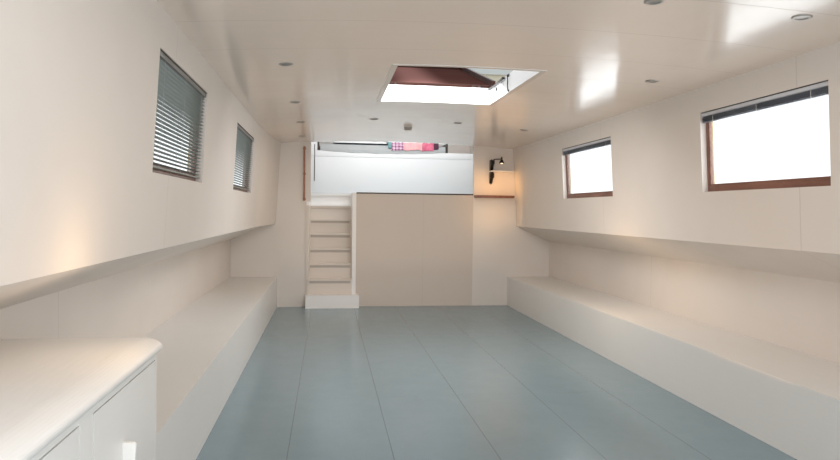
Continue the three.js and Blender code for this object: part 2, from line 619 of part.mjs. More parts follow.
function buildRaisedCabin() {
  const topZ = RAISED_CEILING_Z;
  const foreY = STEP_UP_Y + SEAM;
  const v0 = wallHeight(RAISED_WINDOW_LOW_Z);
  const v1 = wallHeight(RAISED_WINDOW_HIGH_Z);
  const doorLow = wallHeight(LANDING_Z);
  const doorHigh = wallHeight(DOOR_HIGH_Z);
  for (const { side, s } of SIDES) {
    const group = wallGroup(s);
    const wall = [
      [CABIN_HALF_LOW, DECK_LINE_Z],
      [CABIN_HALF_LOW + WALL_THICK, DECK_LINE_Z],
      [cabinHalf(topZ) + WALL_THICK, topZ],
      [cabinHalf(topZ), topZ],
    ];
    const own = RAISED_WINDOWS.filter((w) => w.s === s);
    const holes = own.map((w) => block(-s * PAST, s * (WALL_THICK + PAST), w.y0, w.y1, v0, v1));
    if (s < 0) holes.push(block(PAST, -WALL_THICK - PAST, DOOR_FORE_Y, DOOR_AFT_Y, doorLow, doorHigh));
    if (s < 0) holes.push(...doorPivots(DOOR_PIN_R + SEAM, DOOR_PIN_LONG + 4));
    holes.forEach((hole) => hole.applyMatrix4(group.matrix));
    const slab = prismY(mirrored(s, wall), foreY, END_Y - BULKHEAD_THICK - SEAM);
    piece(`raised_side_${side}`, cut(slab, ...holes), "wall");
    for (const w of own) {
      const [near, far] = [s * RAISED_PANE_AT, s * (RAISED_PANE_AT + GLASS_THICK)];
      const pane = block(near, far, w.y0 + SEAM, w.y1 - SEAM, v0 + SEAM, v1 - SEAM);
      piece(`window_glass_${w.name}`, pane, "glass", group);
    }
  }

  const half = (z) => cabinHalf(z) - SEAM;
  const sill = CEILING_SIDE_Z + CEILING_RISE + 20;
  const header = [
    [-half(sill), sill],
    [half(sill), sill],
    [half(topZ), topZ],
    [-half(topZ), topZ],
  ];
  piece("raised_front", prismY(header, foreY, STEP_UP_Y + BULKHEAD_THICK), "wall");

  const outer = (z) => cabinHalf(z) + WALL_THICK;
  const endWall = [
    [-outer(DECK_LINE_Z), DECK_LINE_Z],
    [outer(DECK_LINE_Z), DECK_LINE_Z],
    [outer(topZ), topZ],
    [-outer(topZ), topZ],
  ];
  const endY = END_Y - BULKHEAD_THICK;
  const lights = END_WINDOWS.map((w) =>
    block(w.x0, w.x1, endY - PAST, END_Y + PAST, RAISED_WINDOW_LOW_Z, RAISED_WINDOW_HIGH_Z),
  );
  piece("end_wall", cut(prismY(endWall, endY, END_Y), ...lights), "wall");
  for (const w of END_WINDOWS) {
    const [low, high] = [RAISED_WINDOW_LOW_Z + SEAM, RAISED_WINDOW_HIGH_Z - SEAM];
    const paneY = endY + END_PANE_AT;
    const pane = block(w.x0 + SEAM, w.x1 - SEAM, paneY, paneY + GLASS_THICK, low, high);
    piece(`window_glass_${w.name}`, pane, "glass");
  }

  const edge = outer(topZ) + ROOF_OVERHANG;
  const over = camber(edge, topZ + RAISED_ROOF_THICK, RAISED_CAMBER, 12);
  const roof = [[-edge, topZ], [edge, topZ], ...over.reverse()];
  piece("raised_roof", prismY(roof, foreY - 40, END_Y), "ceiling");
}

// Entrance door in the port side of the raised cabin, hung on pivots at its after edge

// Pivot pins of radius r that reach long past the doorway's sill and head, in the port wall's axes
function doorPivots(r, long) {
  const x = -WALL_THICK + DOOR_PIN_OUT;
  const y = DOOR_AFT_Y - HINGE_GAP - DOOR_PIN_IN;
  const ends = [
    [wallHeight(LANDING_Z), -1],
    [wallHeight(DOOR_HIGH_Z), 1],
  ];
  return ends.map(([v, up]) => bar([x, y, v - up * (DOOR_GAP + 2)], [x, y, v + up * long], r));
}

function buildDoor() {
  const group = wallGroup(-1);
  const [low, high] = [wallHeight(LANDING_Z) + DOOR_GAP, wallHeight(DOOR_HIGH_Z) - DOOR_GAP];
  const [y0, y1] = [DOOR_FORE_Y + DOOR_GAP, DOOR_AFT_Y - HINGE_GAP];
  const leaf = block(-WALL_THICK, -WALL_THICK + DOOR_THICK, y0, y1, low, high);
  piece("entrance_door", join(leaf, ...doorPivots(DOOR_PIN_R, DOOR_PIN_LONG)), "mahogany", group);
}

// Sideboard along the port side: carcass in two bays, top with a rounded nosing, a door in each bay
// hung on pivots at its forward edge

const SIDEBOARD_BAYS = [
  { name: "fore", y0: SIDEBOARD_FORE_Y + BOARD, y1: STILE_FORE_Y },
  { name: "aft", y0: STILE_AFT_Y, y1: SIDEBOARD_AFT_Y - BOARD },
];

function buildSideboard() {
  const backX = -LINING_HALF;
  const face = SIDEBOARD_FACE_X;
  const topZ = SIDEBOARD_TOP_Z - SIDEBOARD_TOP_THICK;
  const [y0, y1] = [SIDEBOARD_FORE_Y, SIDEBOARD_AFT_Y];
  const [bayLow, bayHigh] = [FLOOR_Z + PLINTH_HIGH, topZ - BOARD];
  const [doorLow, doorHigh] = [bayLow + DOOR_GAP, bayHigh - DOOR_GAP];
  // Pins of radius r that reach past the bay's bottom and top boards
  const pivots = (bay, r, reach) => {
    const [x, y] = [face - BOARD / 2, bay.y0 + HINGE_GAP + BOARD / 2];
    return [
      bar([x, y, doorLow + PAST], [x, y, bayLow - reach], r, 12),
      bar([x, y, doorHigh - PAST], [x, y, bayHigh + reach], r, 12),
    ];
  };
  const hollows = SIDEBOARD_BAYS.map((b) => block(backX + BOARD, face + PAST, b.y0, b.y1, bayLow, bayHigh));
  const sockets = SIDEBOARD_BAYS.flatMap((b) => pivots(b, SIDEBOARD_PIN_R + SEAM, 12));
  piece("sideboard", cut(block(backX, face, y0, y1, FLOOR_Z, topZ), ...hollows, ...sockets), "joinery");

  const outX = face + TOP_OVERHANG;
  const r = NOSING_LOW_R;
  const nosing = [
    ...arc(outX - r, topZ + r, r, r, -90, 0),
    ...arc(outX - NOSING_BACK, topZ + r, NOSING_BACK, SIDEBOARD_TOP_THICK - r, 0, 90, 10).slice(1),
  ];
  const top = [[backX, topZ], ...nosing, [backX, SIDEBOARD_TOP_Z]];
  piece("sideboard_top", prismY(top, y0, y1 + TOP_OVERHANG), "joinery");

  for (const bay of SIDEBOARD_BAYS) {
    const leaf = block(face - BOARD, face, bay.y0 + HINGE_GAP, bay.y1 - DOOR_GAP, doorLow, doorHigh);
    piece(`sideboard_door_${bay.name}`, join(leaf, ...pivots(bay, SIDEBOARD_PIN_R, 10)), "joinery");
  }
}

// Fittings on the after bulkhead: brass grab rail, two shelves, and a dark lamp on the upper one

function buildFittings() {
  const y = BULKHEAD_Y;
  const r = RAIL;
  const inset = r.roseR + 4;
  const rods = [r.low + inset, (r.low + r.high) / 2, r.high - inset].flatMap((z) => [
    bar([r.x, y - r.out, z], [r.x, y, z], r.bracketR),
    bar([r.x, y - r.roseThick, z], [r.x, y, z], r.roseR),
  ]);
  piece("grab_rail", join(bar([r.x, y - r.out, r.low], [r.x, y - r.out, r.high], r.r), ...rods), "brass");

  for (const [name, shelf] of [["upper", SHELF_UPPER], ["lower", SHELF_LOWER]]) {
    piece(`shelf_${name}`, block(shelf.x0, shelf.x1, y - shelf.deep, y, shelf.low, shelf.high), "joinery");
  }
  const under = SHELF_UPPER.low - SEAM;
  const strut = [[y, under], [y - 95, under], [y - 80, under - 45], [y - 22, BRACKET.low], [y, BRACKET.low]];
  piece("shelf_bracket", prismX(strut, BRACKET.x0, BRACKET.x1), "lamp");

  const over = SHELF_UPPER.high + SEAM;
  const scroll = [
    [y, over],
    [y - 40, over],
    [y - 95, over + 70],
    [y - 105, BRACKET.high - 20],
    [y - 60, BRACKET.high],
    [y, BRACKET.high],
  ];
  const l = LAMP;
  const out = y - l.out;
  const shade = new THREE.CylinderGeometry(l.armR * 2, l.shadeR, l.armZ - l.shadeLow, 24);
  shade.rotateX(Math.PI / 2).translate(l.shadeX, out, (l.armZ + l.shadeLow) / 2);
  const lamp = join(
    prismX(scroll, BRACKET.x0, BRACKET.x1),
    bar([(BRACKET.x0 + BRACKET.x1) / 2, y - 70, BRACKET.high - 25], [l.elbowX, out, l.armZ], l.armR, 12),
    bar([l.elbowX, out, l.armZ], [l.shadeX, out, l.armZ + l.armR], l.armR, 12),
    shade,
  );
  piece("wall_lamp", lamp, "lamp");
}

// Steel bulkhead that closes the hull below the raised cabin

function buildEndBulkhead() {
  const inner = HALF_BEAM - PLATE - 1;
  const footHalf = HALF_BEAM - BILGE_RADIUS - 75;
  const half = [
    [footHalf, PLATE],
    [inner, BILGE_RADIUS],
    [inner, DECK_EDGE_Z - 16],
    [CABIN_HALF_LOW + WALL_THICK, DECK_LINE_Z],
  ];
  const points = [...half, ...mirrored(-1, half).reverse()];
  piece("hull_bulkhead", prismY(points, END_Y - PLATE, END_Y), "hull");
}

buildHull();
buildLinings();
buildCabinSides();
buildRoof();
buildAfterEnd();
buildBerth();
buildRaisedCabin();
buildDoor();
buildSideboard();
buildFittings();
buildEndBulkhead();

export default houseboat;
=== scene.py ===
from math import copysign, cos, dist, pi, radians, sin, tan

import bmesh
import bpy
from mathutils import Matrix, Vector, noise
from mathutils.bvhtree import BVHTree


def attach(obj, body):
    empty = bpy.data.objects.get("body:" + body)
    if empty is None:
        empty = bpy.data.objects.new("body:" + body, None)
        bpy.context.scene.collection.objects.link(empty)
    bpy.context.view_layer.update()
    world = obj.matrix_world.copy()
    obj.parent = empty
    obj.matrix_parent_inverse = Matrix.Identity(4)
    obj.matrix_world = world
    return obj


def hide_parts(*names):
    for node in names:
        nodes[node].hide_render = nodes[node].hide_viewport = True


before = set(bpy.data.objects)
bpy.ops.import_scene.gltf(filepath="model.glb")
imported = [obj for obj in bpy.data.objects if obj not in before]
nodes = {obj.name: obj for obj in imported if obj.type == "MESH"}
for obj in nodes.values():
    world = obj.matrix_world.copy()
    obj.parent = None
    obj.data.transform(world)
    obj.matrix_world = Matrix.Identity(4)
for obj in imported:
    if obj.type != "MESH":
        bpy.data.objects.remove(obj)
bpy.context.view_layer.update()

# Camera and studio
# The view is from eye height just forward of the cut end, looking aft and a little to starboard.
# The section stands on a pale matt floor under an even white sky.

EYE = (-0.98, -6.90, 1.66)
YAW, PITCH, ROLL = radians(7.88), radians(-1.62), radians(0.69)
FOCAL_PIXELS = 665.1
VIEW_WIDE = 840
SENSOR = 36.0

camera_data = bpy.data.cameras.new("camera")
camera_data.sensor_width = SENSOR
camera_data.lens = FOCAL_PIXELS / VIEW_WIDE * SENSOR
camera_data.clip_start = 0.05
camera = bpy.data.objects.new("camera", camera_data)
bpy.context.collection.objects.link(camera)
ahead = Vector((sin(YAW) * cos(PITCH), cos(YAW) * cos(PITCH), sin(PITCH)))
right = Vector((cos(YAW), -sin(YAW), 0.0))
turn = Matrix((right, right.cross(ahead), -ahead)).transposed().to_4x4()
camera.matrix_world = Matrix.Translation(EYE) @ turn @ Matrix.Rotation(ROLL, 4, "Z")
bpy.context.scene.camera = camera

view = bpy.context.scene.view_settings
view.view_transform = "Standard"
view.look = "None"
view.exposure = 0.0

world = bpy.data.worlds.new("sky")
bpy.context.scene.world = world
world.use_nodes = True
sky = world.node_tree.nodes["Background"]
sky.inputs["Color"].default_value = (0.93, 0.97, 1.0, 1.0)
sky.inputs["Strength"].default_value = 1.5


class Wire:
    """A value that varies over a surface. Arithmetic on it adds Math nodes."""

    def __init__(self, finish, socket):
        self.finish = finish
        self.socket = socket

    def math(self, operation, *values):
        return self.finish.node("ShaderNodeMath", {"operation": operation}, dict(enumerate(values)))

    def __add__(self, other):
        return self.math("ADD", self, other)

    __radd__ = __add__

    def __sub__(self, other):
        return self.math("SUBTRACT", self, other)

    def __rsub__(self, other):
        return self.math("SUBTRACT", other, self)

    def __mul__(self, other):
        return self.math("MULTIPLY", self, other)

    __rmul__ = __mul__

    def __truediv__(self, other):
        return self.math("DIVIDE", self, other)

    def __abs__(self):
        return self.math("ABSOLUTE", self)

    def sine(self):
        return self.math("SINE", self)

    def part(self):
        return self.math("FRACT", self)

    def rise(self, low, high):
        """0 below low, 1 above high, and a smooth step between."""
        settings = {"interpolation_type": "SMOOTHSTEP"}
        return self.finish.node("ShaderNodeMapRange", settings, {0: self, 1: low, 2: high, 3: 0.0, 4: 1.0})

    def line(self, at, half, soft):
        """1 within half of at, fading to 0 over soft."""
        return 1 - abs(self - at).rise(half, half + soft)


class Finish:
    """A procedural material on the Principled shader: numbers that never vary sit on its own sockets."""

    def __init__(self, name, slot=None, **fixed):
        self.slot = slot
        self.material = bpy.data.materials.new(name)
        self.material.use_nodes = True
        self.tree = self.material.node_tree
        self.shader = self.tree.nodes["Principled BSDF"]
        self.space = self.node("ShaderNodeTexCoord", {}, {}, "Object")
        for socket, value in fixed.items():
            self.shader.inputs[socket.replace("_", " ")].default_value = value

    def node(self, kind, settings, sockets, output=0):
        made = self.tree.nodes.new(kind)
        for name, value in settings.items():
            setattr(made, name, value)
        for key, value in sockets.items():
            socket = made.inputs[key]
            if isinstance(value, Wire):
                self.tree.links.new(value.socket, socket)
            elif socket.type == "RGBA":
                socket.default_value = (*value, 1.0)
            else:
                socket.default_value = value
        return Wire(self, made.outputs[output])

    def split(self, vector):
        first = self.node("ShaderNodeSeparateXYZ", {}, {0: vector})
        return [Wire(self, socket) for socket in first.socket.node.outputs]

    def axes(self):
        return self.split(self.space)

    def facing(self):
        """The surface's own normal in the part's frame, as three values."""
        return self.split(self.node("ShaderNodeTexCoord", {}, {}, "Normal"))

    def cut_edge(self):
        """1 on the forward faces where the section is cut from the rest of the boat."""
        y = self.axes()[1]
        return (1 - self.facing()[1].rise(-0.9, -0.7)) * (1 - y.rise(-5.898, -5.896))

    def noise(self, scale, detail=3.0, rough=0.55, stretch=None):
        space = self.space
        if stretch:
            space = self.node("ShaderNodeVectorMath", {"operation": "MULTIPLY"}, {0: space, 1: stretch})
        sockets = {"Vector": space, "Scale": scale, "Detail": detail, "Roughness": rough}
        return self.node("ShaderNodeTexNoise", {}, sockets)

    def mix(self, a, b, factor):
        return self.node("ShaderNodeMix", {"data_type": "RGBA"}, {0: factor, 6: a, 7: b}, 2)

    def feed(self, **inputs):
        for name, value in inputs.items():
            self.tree.links.new(value.socket, self.shader.inputs[name.replace("_", " ")])

    def paint(self, colour, rough=None, relief=None, depth=None):
        """Feeds the colour and, where given, the roughness and a relief of some depth in metres."""
        self.feed(Base_Color=colour)
        if rough:
            self.feed(Roughness=rough)
        if relief:
            sockets = {"Height": relief, "Distance": depth, "Strength": 1.0}
            self.feed(Normal=self.node("ShaderNodeBump", {}, sockets))


def two_tone(name, slot, pale, deep, grain, rough=None, **fixed):
    """A finish whose colour and roughness follow one noise. rough is the least and the span."""
    made = Finish(name, slot, **fixed)
    tone = made.noise(*grain)
    made.paint(made.mix(pale, deep, tone), rough and rough[0] + tone * rough[1])
    return made


def piece(finish, smooth=None, body="hull", name=None):
    """Makes what a function draws, in the part's frame, into a piece that rides on a body."""

    def make(draw):
        called = name or draw.__name__
        mesh = bpy.data.meshes.new(called)
        bm = bmesh.new()
        draw(bm)
        bmesh.ops.recalc_face_normals(bm, faces=bm.faces)
        bm.to_mesh(mesh)
        bm.free()
        mesh.materials.append(finish.material)
        made = bpy.data.objects.new(called, mesh)
        bpy.context.collection.objects.link(made)
        if smooth:
            mesh.shade_smooth()
            mesh.set_sharp_from_angle(angle=radians(smooth))
        if body:
            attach(made, body)
        return made

    return make


studio_floor = two_tone("studio_floor", None, (0.78, 0.78, 0.77), (0.82, 0.82, 0.81), (3,), Roughness=0.7)


@piece(studio_floor, body=None)
def studio_ground(bm):
    bmesh.ops.create_grid(bm, x_segments=1, y_segments=1, size=30)


studio_ground.location.z = -0.002


def unseen_light(kind, name, at, watts, colour):
    data = bpy.data.lights.new(name, kind)
    data.energy = watts
    data.color = colour
    light = bpy.data.objects.new(name, data)
    light.location = at
    light.visible_camera = False
    light.visible_glossy = False
    bpy.context.collection.objects.link(light)
    return light


def soft_light(name, at, aim, wide, high, watts, colour):
    light = unseen_light("AREA", name, at, watts, colour)
    light.data.shape = "RECTANGLE"
    light.data.size, light.data.size_y = wide, high
    light.rotation_euler = Vector(aim).to_track_quat("-Z", "Y").to_euler()
    return light


def warm_glow(name, at, watts, radius):
    unseen_light("POINT", name, at, watts, (1.0, 0.66, 0.36)).data.shadow_soft_size = radius


soft_light("front", (0.4, -9, 2.6), (0, 1, -0.12), 5, 3, 112, (0.99, 0.98, 1))
soft_light("near_top", (-0.9, -6.3, 2.5), (-0.25, 0.35, -1), 1.2, 1, 8, (0.97, 0.99, 1))
soft_light("below_hatch", (0, -1.4, 2.66), (0, 0.55, -0.8), 0.9, 1.2, 34, (0.97, 0.98, 1))
soft_light("landing", (0, 3.2, 3.5), (0, 0.75, -0.9), 2.4, 0.8, 40, (0.97, 0.99, 1))
soft_light("under_ceiling", (0, -1.2, 2.50), (0, 0, -1), 2.6, 7.5, 19, (1, 0.80, 0.60))
soft_light("over_floor", (0, -1.2, 0.75), (0, 0, 1), 2.8, 7.5, 12, (1, 0.80, 0.62))
warm_glow("glow_starboard", (1.45, -0.9, 1.20), 6, 0.35)
warm_glow("glow_port", (-1.60, -4.55, 1.44), 1.8, 0.12)
warm_glow("glow_after", (-1, 1.5, 1.75), 3, 0.25)
soft_light("shelf_wall", (1.42, 2.60, 2.08), (0, 1, 0), 0.50, 0.30, 0.75, (1, 0.50, 0.14))
soft_light("shelf_side", (1.58, 2.62, 2.05), (1, -0.3, 0), 0.25, 0.25, 0.35, (1, 0.52, 0.16))
soft_light("below_shelf", (1.42, 2.45, 1.62), (0, 1, 0.1), 0.50, 0.30, 0.7, (1, 0.60, 0.26))
soft_light("soffit_starboard", (1.35, -3, 0.85), (0.5, 0, 1), 0.8, 4.5, 3.2, (1, 0.50, 0.22))
for window_y in (-2.87, 0.05):
    at, aim = (1.915, window_y, 2.14), (-1, 0, -0.06)
    soft_light("daylight", at, aim, 1.2, 0.45, 4.6, (0.95, 0.98, 1)).visible_glossy = True


# Hull
# Welded mild steel plate with a round bilge, in a dark blue bitumen paint. The plates meet in
# upright weld beads, and below the strake the paint is dulled by the water.

coat = hull_paint = Finish("hull_paint", "black_metal")
x, y, z = coat.axes()
weld = (y / 1.5 + 0.5).part().line(0.5, 0.002, 0.004)
grime = coat.noise(2.2, 6, 0.6)
fine = coat.noise(60, 2)
streak = coat.noise(5, 4, 0.6, (1, 1, 0.12))
blue = coat.mix((0.018, 0.028, 0.042), (0.035, 0.05, 0.066), grime)
chalky = (1 - z.rise(0.25, 0.75)) * grime
blue = coat.mix(blue, (0.085, 0.085, 0.08), chalky * 0.8)
rust = streak.rise(0.62, 0.74) * z.rise(0.7, 1.35) * 0.5
coat.paint(
    coat.mix(blue, (0.11, 0.06, 0.035), rust),
    0.34 + grime * 0.25 + chalky * 0.2, weld + fine * 0.12 + grime * 0.2, 0.004,
)


def dress(finish, *names):
    """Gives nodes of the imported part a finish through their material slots."""
    for name in names:
        for slot in nodes[name].material_slots:
            slot.material = finish.material


dress(hull_paint, "hull_bottom", "hull_side_port", "hull_side_starboard", "hull_bulkhead")

HALF_BEAM, BILGE_RADIUS, PLATE = 2.525, 0.25, 0.012
STERN_Y = (5.889, 5.899)
CLEAR = 0.002


def join(bm, near, far):
    """Faces between two closed loops of as many points."""
    for i in range(len(near)):
        j = (i + 1) % len(near)
        bm.faces.new((near[i], near[j], far[j], far[i]))


def prism(bm, near, far):
    """A closed solid between two like outlines. Gives back its two end faces."""
    near, far = ([bm.verts.new(point) for point in end] for end in (near, far))
    ends = [bm.faces.new(near), bm.faces.new(far)]
    join(bm, near, far)
    return ends


@piece(hull_paint, 35)
def bilge_corners(bm):
    """A corner plate on each side fills the turn of the bilge at the after bulkhead."""
    reach = BILGE_RADIUS - PLATE - CLEAR
    cx, cz = HALF_BEAM - BILGE_RADIUS, BILGE_RADIUS
    turn = [radians(a) for a in range(0, 91, 6)]
    outline = [(cx - 0.11, PLATE + CLEAR), *[(cx + reach * sin(a), cz - reach * cos(a)) for a in turn]]
    outline += [(HALF_BEAM - PLATE - CLEAR, cz + 0.05)]
    for side in (-1, 1):
        prism(bm, *[[(side * x, y, z) for x, z in outline] for y in STERN_Y])


# Rubbing strakes
# Heavy steel channels welded along both sides. Quay walls scrape their black paint to brown metal.

coat = strake_paint = Finish("strake_paint", "black_metal")
scrape = coat.noise(14, 5, 0.7, (1, 0.12, 1)).rise(0.58, 0.66)
coat.paint(
    coat.mix((0.016, 0.016, 0.017), (0.12, 0.085, 0.07), scrape * 0.7),
    0.4 + scrape * 0.3, coat.noise(40), 0.002,
)
dress(strake_paint, "rubbing_strake_port", "rubbing_strake_starboard")

# Side decks
# Steel decks in a grey-green paint with sand in it, walked smooth along the middle. Each has a pair
# of welded mooring posts on a doubling plate at either end.

coat = deck_paint = Finish("deck_paint")
x, y, z = coat.axes()
grit = coat.noise(420, 2)
patch = coat.noise(1.7, 5)
walked = abs(x).line(2.2, 0.1, 0.12) * patch
coat.paint(
    coat.mix((0.20, 0.24, 0.23), (0.33, 0.36, 0.34), walked + patch * 0.3),
    0.85 - walked * 0.25, grit, 0.0015,
)
dress(deck_paint, "side_deck_port", "side_deck_starboard")

DECK_Z = 1.56
POST_X, POST_PLACES, POST_APART = 2.36, (-5.35, 4.95), 0.26


def soften(bm, verts, width):
    edges = list({edge for vert in verts for edge in vert.link_edges})
    bmesh.ops.bevel(bm, geom=edges, offset=width, segments=2, profile=0.6, affect="EDGES")


def block(bm, low, high, bevel):
    """A box between two corners with rounded edges."""
    low, high = Vector(low), Vector(high)
    made = bmesh.ops.create_cube(bm, size=1.0)["verts"]
    bmesh.ops.scale(bm, vec=high - low, verts=made)
    bmesh.ops.translate(bm, vec=(low + high) / 2, verts=made)
    soften(bm, made, bevel)


def lathe(bm, profile, at, axis=(0, 0, 1), steps=28):
    """A turned shape: profile is (radius, distance along the axis) from one end to the other."""
    turn = Vector(axis).to_track_quat("Z", "Y")
    rings = []
    for radius, along in profile:
        count = steps if radius > 1e-6 else 1
        angles = [2 * pi * i / steps for i in range(count)]
        points = [Vector((radius * cos(a), radius * sin(a), along)) for a in angles]
        rings.append([bm.verts.new(Vector(at) + turn @ point) for point in points])
    for a, b in zip(rings, rings[1:]):
        for i in range(steps):
            corners = [a[i % len(a)], a[(i + 1) % len(a)], b[(i + 1) % len(b)], b[i % len(b)]]
            bm.faces.new(list(dict.fromkeys(corners)))


@piece(strake_paint, 35)
def mooring_posts(bm):
    for side in (-1, 1):
        for middle in POST_PLACES:
            x0, x1 = sorted((side * (POST_X - 0.09), side * (POST_X + 0.09)))
            block(bm, (x0, middle - 0.25, DECK_Z - 0.002), (x1, middle + 0.25, DECK_Z + 0.012), 0.004)
            for at in (middle - POST_APART / 2, middle + POST_APART / 2):
                foot = (side * POST_X, at, DECK_Z + 0.01)
                profile = [(0, 0), (0.062, 0), (0.054, 0.012), (0.05, 0.03), (0.05, 0.2), (0.056, 0.206)]
                profile += [(0.066, 0.21), (0.069, 0.22), (0.066, 0.23), (0.045, 0.238), (0, 0.24)]
                lathe(bm, profile, foot)
            bar = (side * POST_X, middle - POST_APART / 2 - 0.11, DECK_Z + 0.13)
            reach = POST_APART + 0.22
            profile = [(0, 0), (0.012, 0.001), (0.016, 0.006)]
            profile += [(radius, reach - along) for radius, along in reversed(profile)]
            lathe(bm, profile, bar, (0, 1, 0), 14)


# Deck rails
# Low galvanised rails on turned stanchions, bolted through the deck edge along both sides.

galvanised = two_tone("galvanised", "black_metal", (0.30, 0.31, 0.32), (0.42, 0.43, 0.44), (70, 2),
                      (0.38, 0.2), Metallic=0.75)
RAIL_X, RAIL_TOP_Z = 2.47, 1.885
STANCHIONS = (5.70, 4.25, 2.80, 1.35, -0.10, -1.55, -3.00, -4.45, -5.80)


def tube(bm, path, radius, steps=12, closed=False):
    """A round bar along a path of points."""
    path = [Vector(point) for point in path]
    count = len(path)
    rings = []
    normal = None
    for i, point in enumerate(path):
        ahead_of = path[(i + 1) % count] if closed else path[min(i + 1, count - 1)]
        behind = path[i - 1] if closed or i else path[0]
        along = (ahead_of - behind).normalized()
        if normal is None:
            normal = along.orthogonal()
        normal = (normal - along * normal.dot(along)).normalized()
        other = along.cross(normal)
        angles = [2 * pi * k / steps for k in range(steps)]
        ring = [point + radius * (cos(a) * normal + sin(a) * other) for a in angles]
        rings.append([bm.verts.new(co) for co in ring])
    joins = list(zip(rings, rings[1:] + rings[:1])) if closed else list(zip(rings, rings[1:]))
    for a, b in joins:
        join(bm, a, b)
    if not closed:
        bm.faces.new(rings[0])
        bm.faces.new(rings[-1])


@piece(galvanised, 35)
def deck_rails(bm):
    for side in (-1, 1):
        x = side * RAIL_X
        for at in STANCHIONS:
            turned = [(0, 0), (0.034, 0), (0.034, 0.008), (0.018, 0.012), (0.015, 0.02), (0.0135, 0.16)]
            turned += [(0.02, 0.172), (0.02, 0.188), (0.0135, 0.198), (0.0135, 0.30), (0.022, 0.31)]
            turned += [(0.024, 0.325), (0.018, 0.338), (0, 0.342)]
            lathe(bm, turned, (x, at, DECK_Z - 0.001), steps=14)
        for z in (DECK_Z + 0.18, RAIL_TOP_Z):
            tube(bm, [(x, -5.86, z), (x, 5.76, z)], 0.0105, 10)


# Linings
# Painted ply on battens inside the hull, sloping up under the side decks, with a low boxed bench
# along each side. The cabin sides above are the same sheets, butted with filled seams. Outside, the
# steel is cream over a dark green band, and the edges at the cut are sealed with grey primer.

WALL_WHITE = (0.77, 0.715, 0.665)
PRIMER_GREY = (0.16, 0.155, 0.15)
CABIN_CREAM = (0.50, 0.455, 0.34)
BAND_GREEN = (0.02, 0.055, 0.045)
BAND_TOP_Z, LINE_Z = 1.70, 1.72
SHEET_SEAMS = (-3.27, -0.40, 2.33)

coat = wall_paint = Finish("wall_paint", Specular_IOR_Level=0.45)
x, y, z = coat.axes()
nx, ny, nz = coat.facing()
roller = coat.noise(260, 2, 0.6)
cloud = coat.noise(0.9, 3)
seam = sum(y.line(at, 0.0012, 0.003) for at in SHEET_SEAMS)
after = ny.rise(0.5, 0.8) * y.rise(5.86, 5.87)
fore = (1 - ny.rise(-0.8, -0.5)) * z.rise(2.76, 2.765) * (1 - y.rise(2.93, 2.94))
outside = ((nx * x).rise(0.3, 0.6) + after + fore).rise(0.0, 1.0)
greyer, shadow = (tuple(share * c for c in WALL_WHITE) for share in (0.95, 0.72))
inner = coat.mix(coat.mix(WALL_WHITE, greyer, cloud.rise(0.35, 0.7)), shadow, seam * 0.6)
band = (1 - z.rise(BAND_TOP_Z - 0.001, BAND_TOP_Z)) + z.line(LINE_Z, 0.004, 0.001)
rain = coat.noise(4, 4, 0.6, (1, 1, 0.1)).rise(0.5, 0.75)
cream = coat.mix(CABIN_CREAM, (0.40, 0.36, 0.27), rain * 0.5)
coach = coat.mix(cream, BAND_GREEN, band)
coat.paint(
    coat.mix(coat.mix(inner, coach, outside), PRIMER_GREY, coat.cut_edge()),
    0.42 + roller * 0.1 + cloud * 0.08, roller * 0.3 - seam, 0.0012,
)
dress(wall_paint, "side_lining_port", "side_lining_starboard", "cabin_side_port", "cabin_side_starboard")

coat = joinery_paint = Finish("joinery_paint", "joinery_paint", Specular_IOR_Level=0.5)
strokes = coat.noise(55, 3, 0.6, (1, 0.1, 1))
white = coat.mix((0.80, 0.79, 0.765), (0.75, 0.735, 0.71), coat.noise(1.3))
coat.paint(coat.mix(white, PRIMER_GREY, coat.cut_edge()), 0.3 + strokes * 0.15, strokes, 0.0008)
dress(joinery_paint, "bench_port", "bench_starboard")

# Floor
# Broad boards under several coats of blue-grey deck enamel, satin and scuffed, with fine joints.

BOARD_WIDE, BOARD_LONG = 0.6, 2.44

coat = floor_paint = Finish("floor_paint", Specular_IOR_Level=0.9)
x, y, z = coat.axes()
joint = (x / BOARD_WIDE + 0.5).part().line(0.5, 0.002, 0.004)
cross = (y / BOARD_LONG + 0.3).part().line(0.5, 0.0005, 0.0008)
lines = (joint + cross * 0.4).rise(0.0, 1.0)
scuff = coat.noise(5, 6, 0.7)
brush = coat.noise(30, 3, 0.6, (1, 0.06, 1))
grey = coat.mix((0.165, 0.248, 0.288), (0.20, 0.285, 0.325), scuff)
coat.paint(
    coat.mix(grey, (0.13, 0.16, 0.175), lines * 0.6),
    0.15 + scuff * 0.06 + brush * 0.05, brush * 0.25 + scuff * 0.08 - lines, 0.0018,
)
dress(floor_paint, "saloon_floor", "landing")

# Saloon roof
# Steel plate on deck beams. Below, the deckhead is sheeted athwartships and sprayed in a gloss white
# that mirrors the windows in soft waves. Above, the plate has a pale grey deck paint.

SHEET_LONG = 0.61

coat = roof_paint = Finish("roof_paint", Specular_IOR_Level=0.9)
x, y, z = coat.axes()
nx, ny, nz = coat.facing()
top = nz.rise(-0.3, 0.1)
wave = coat.noise(1.1, 2, 0.5)
ripple = coat.noise(6, 2, 0.5, (0.12, 1, 1))
butt = (y / SHEET_LONG).part().line(0.5, 0.002, 0.004) * (1 - top)
grit = coat.noise(380, 2)
under = coat.mix((0.77, 0.685, 0.615), (0.54, 0.475, 0.42), butt * 0.7)
over = coat.mix(under, (0.34, 0.37, 0.365), top)
coat.paint(
    coat.mix(over, PRIMER_GREY, coat.cut_edge()),
    0.135 + wave * 0.08 + top * 0.4,
    (wave + ripple * 0.14 - butt * 0.16) * (1 - top) + grit * 0.05 * top, 0.006,
)
dress(roof_paint, "saloon_roof", "raised_roof")

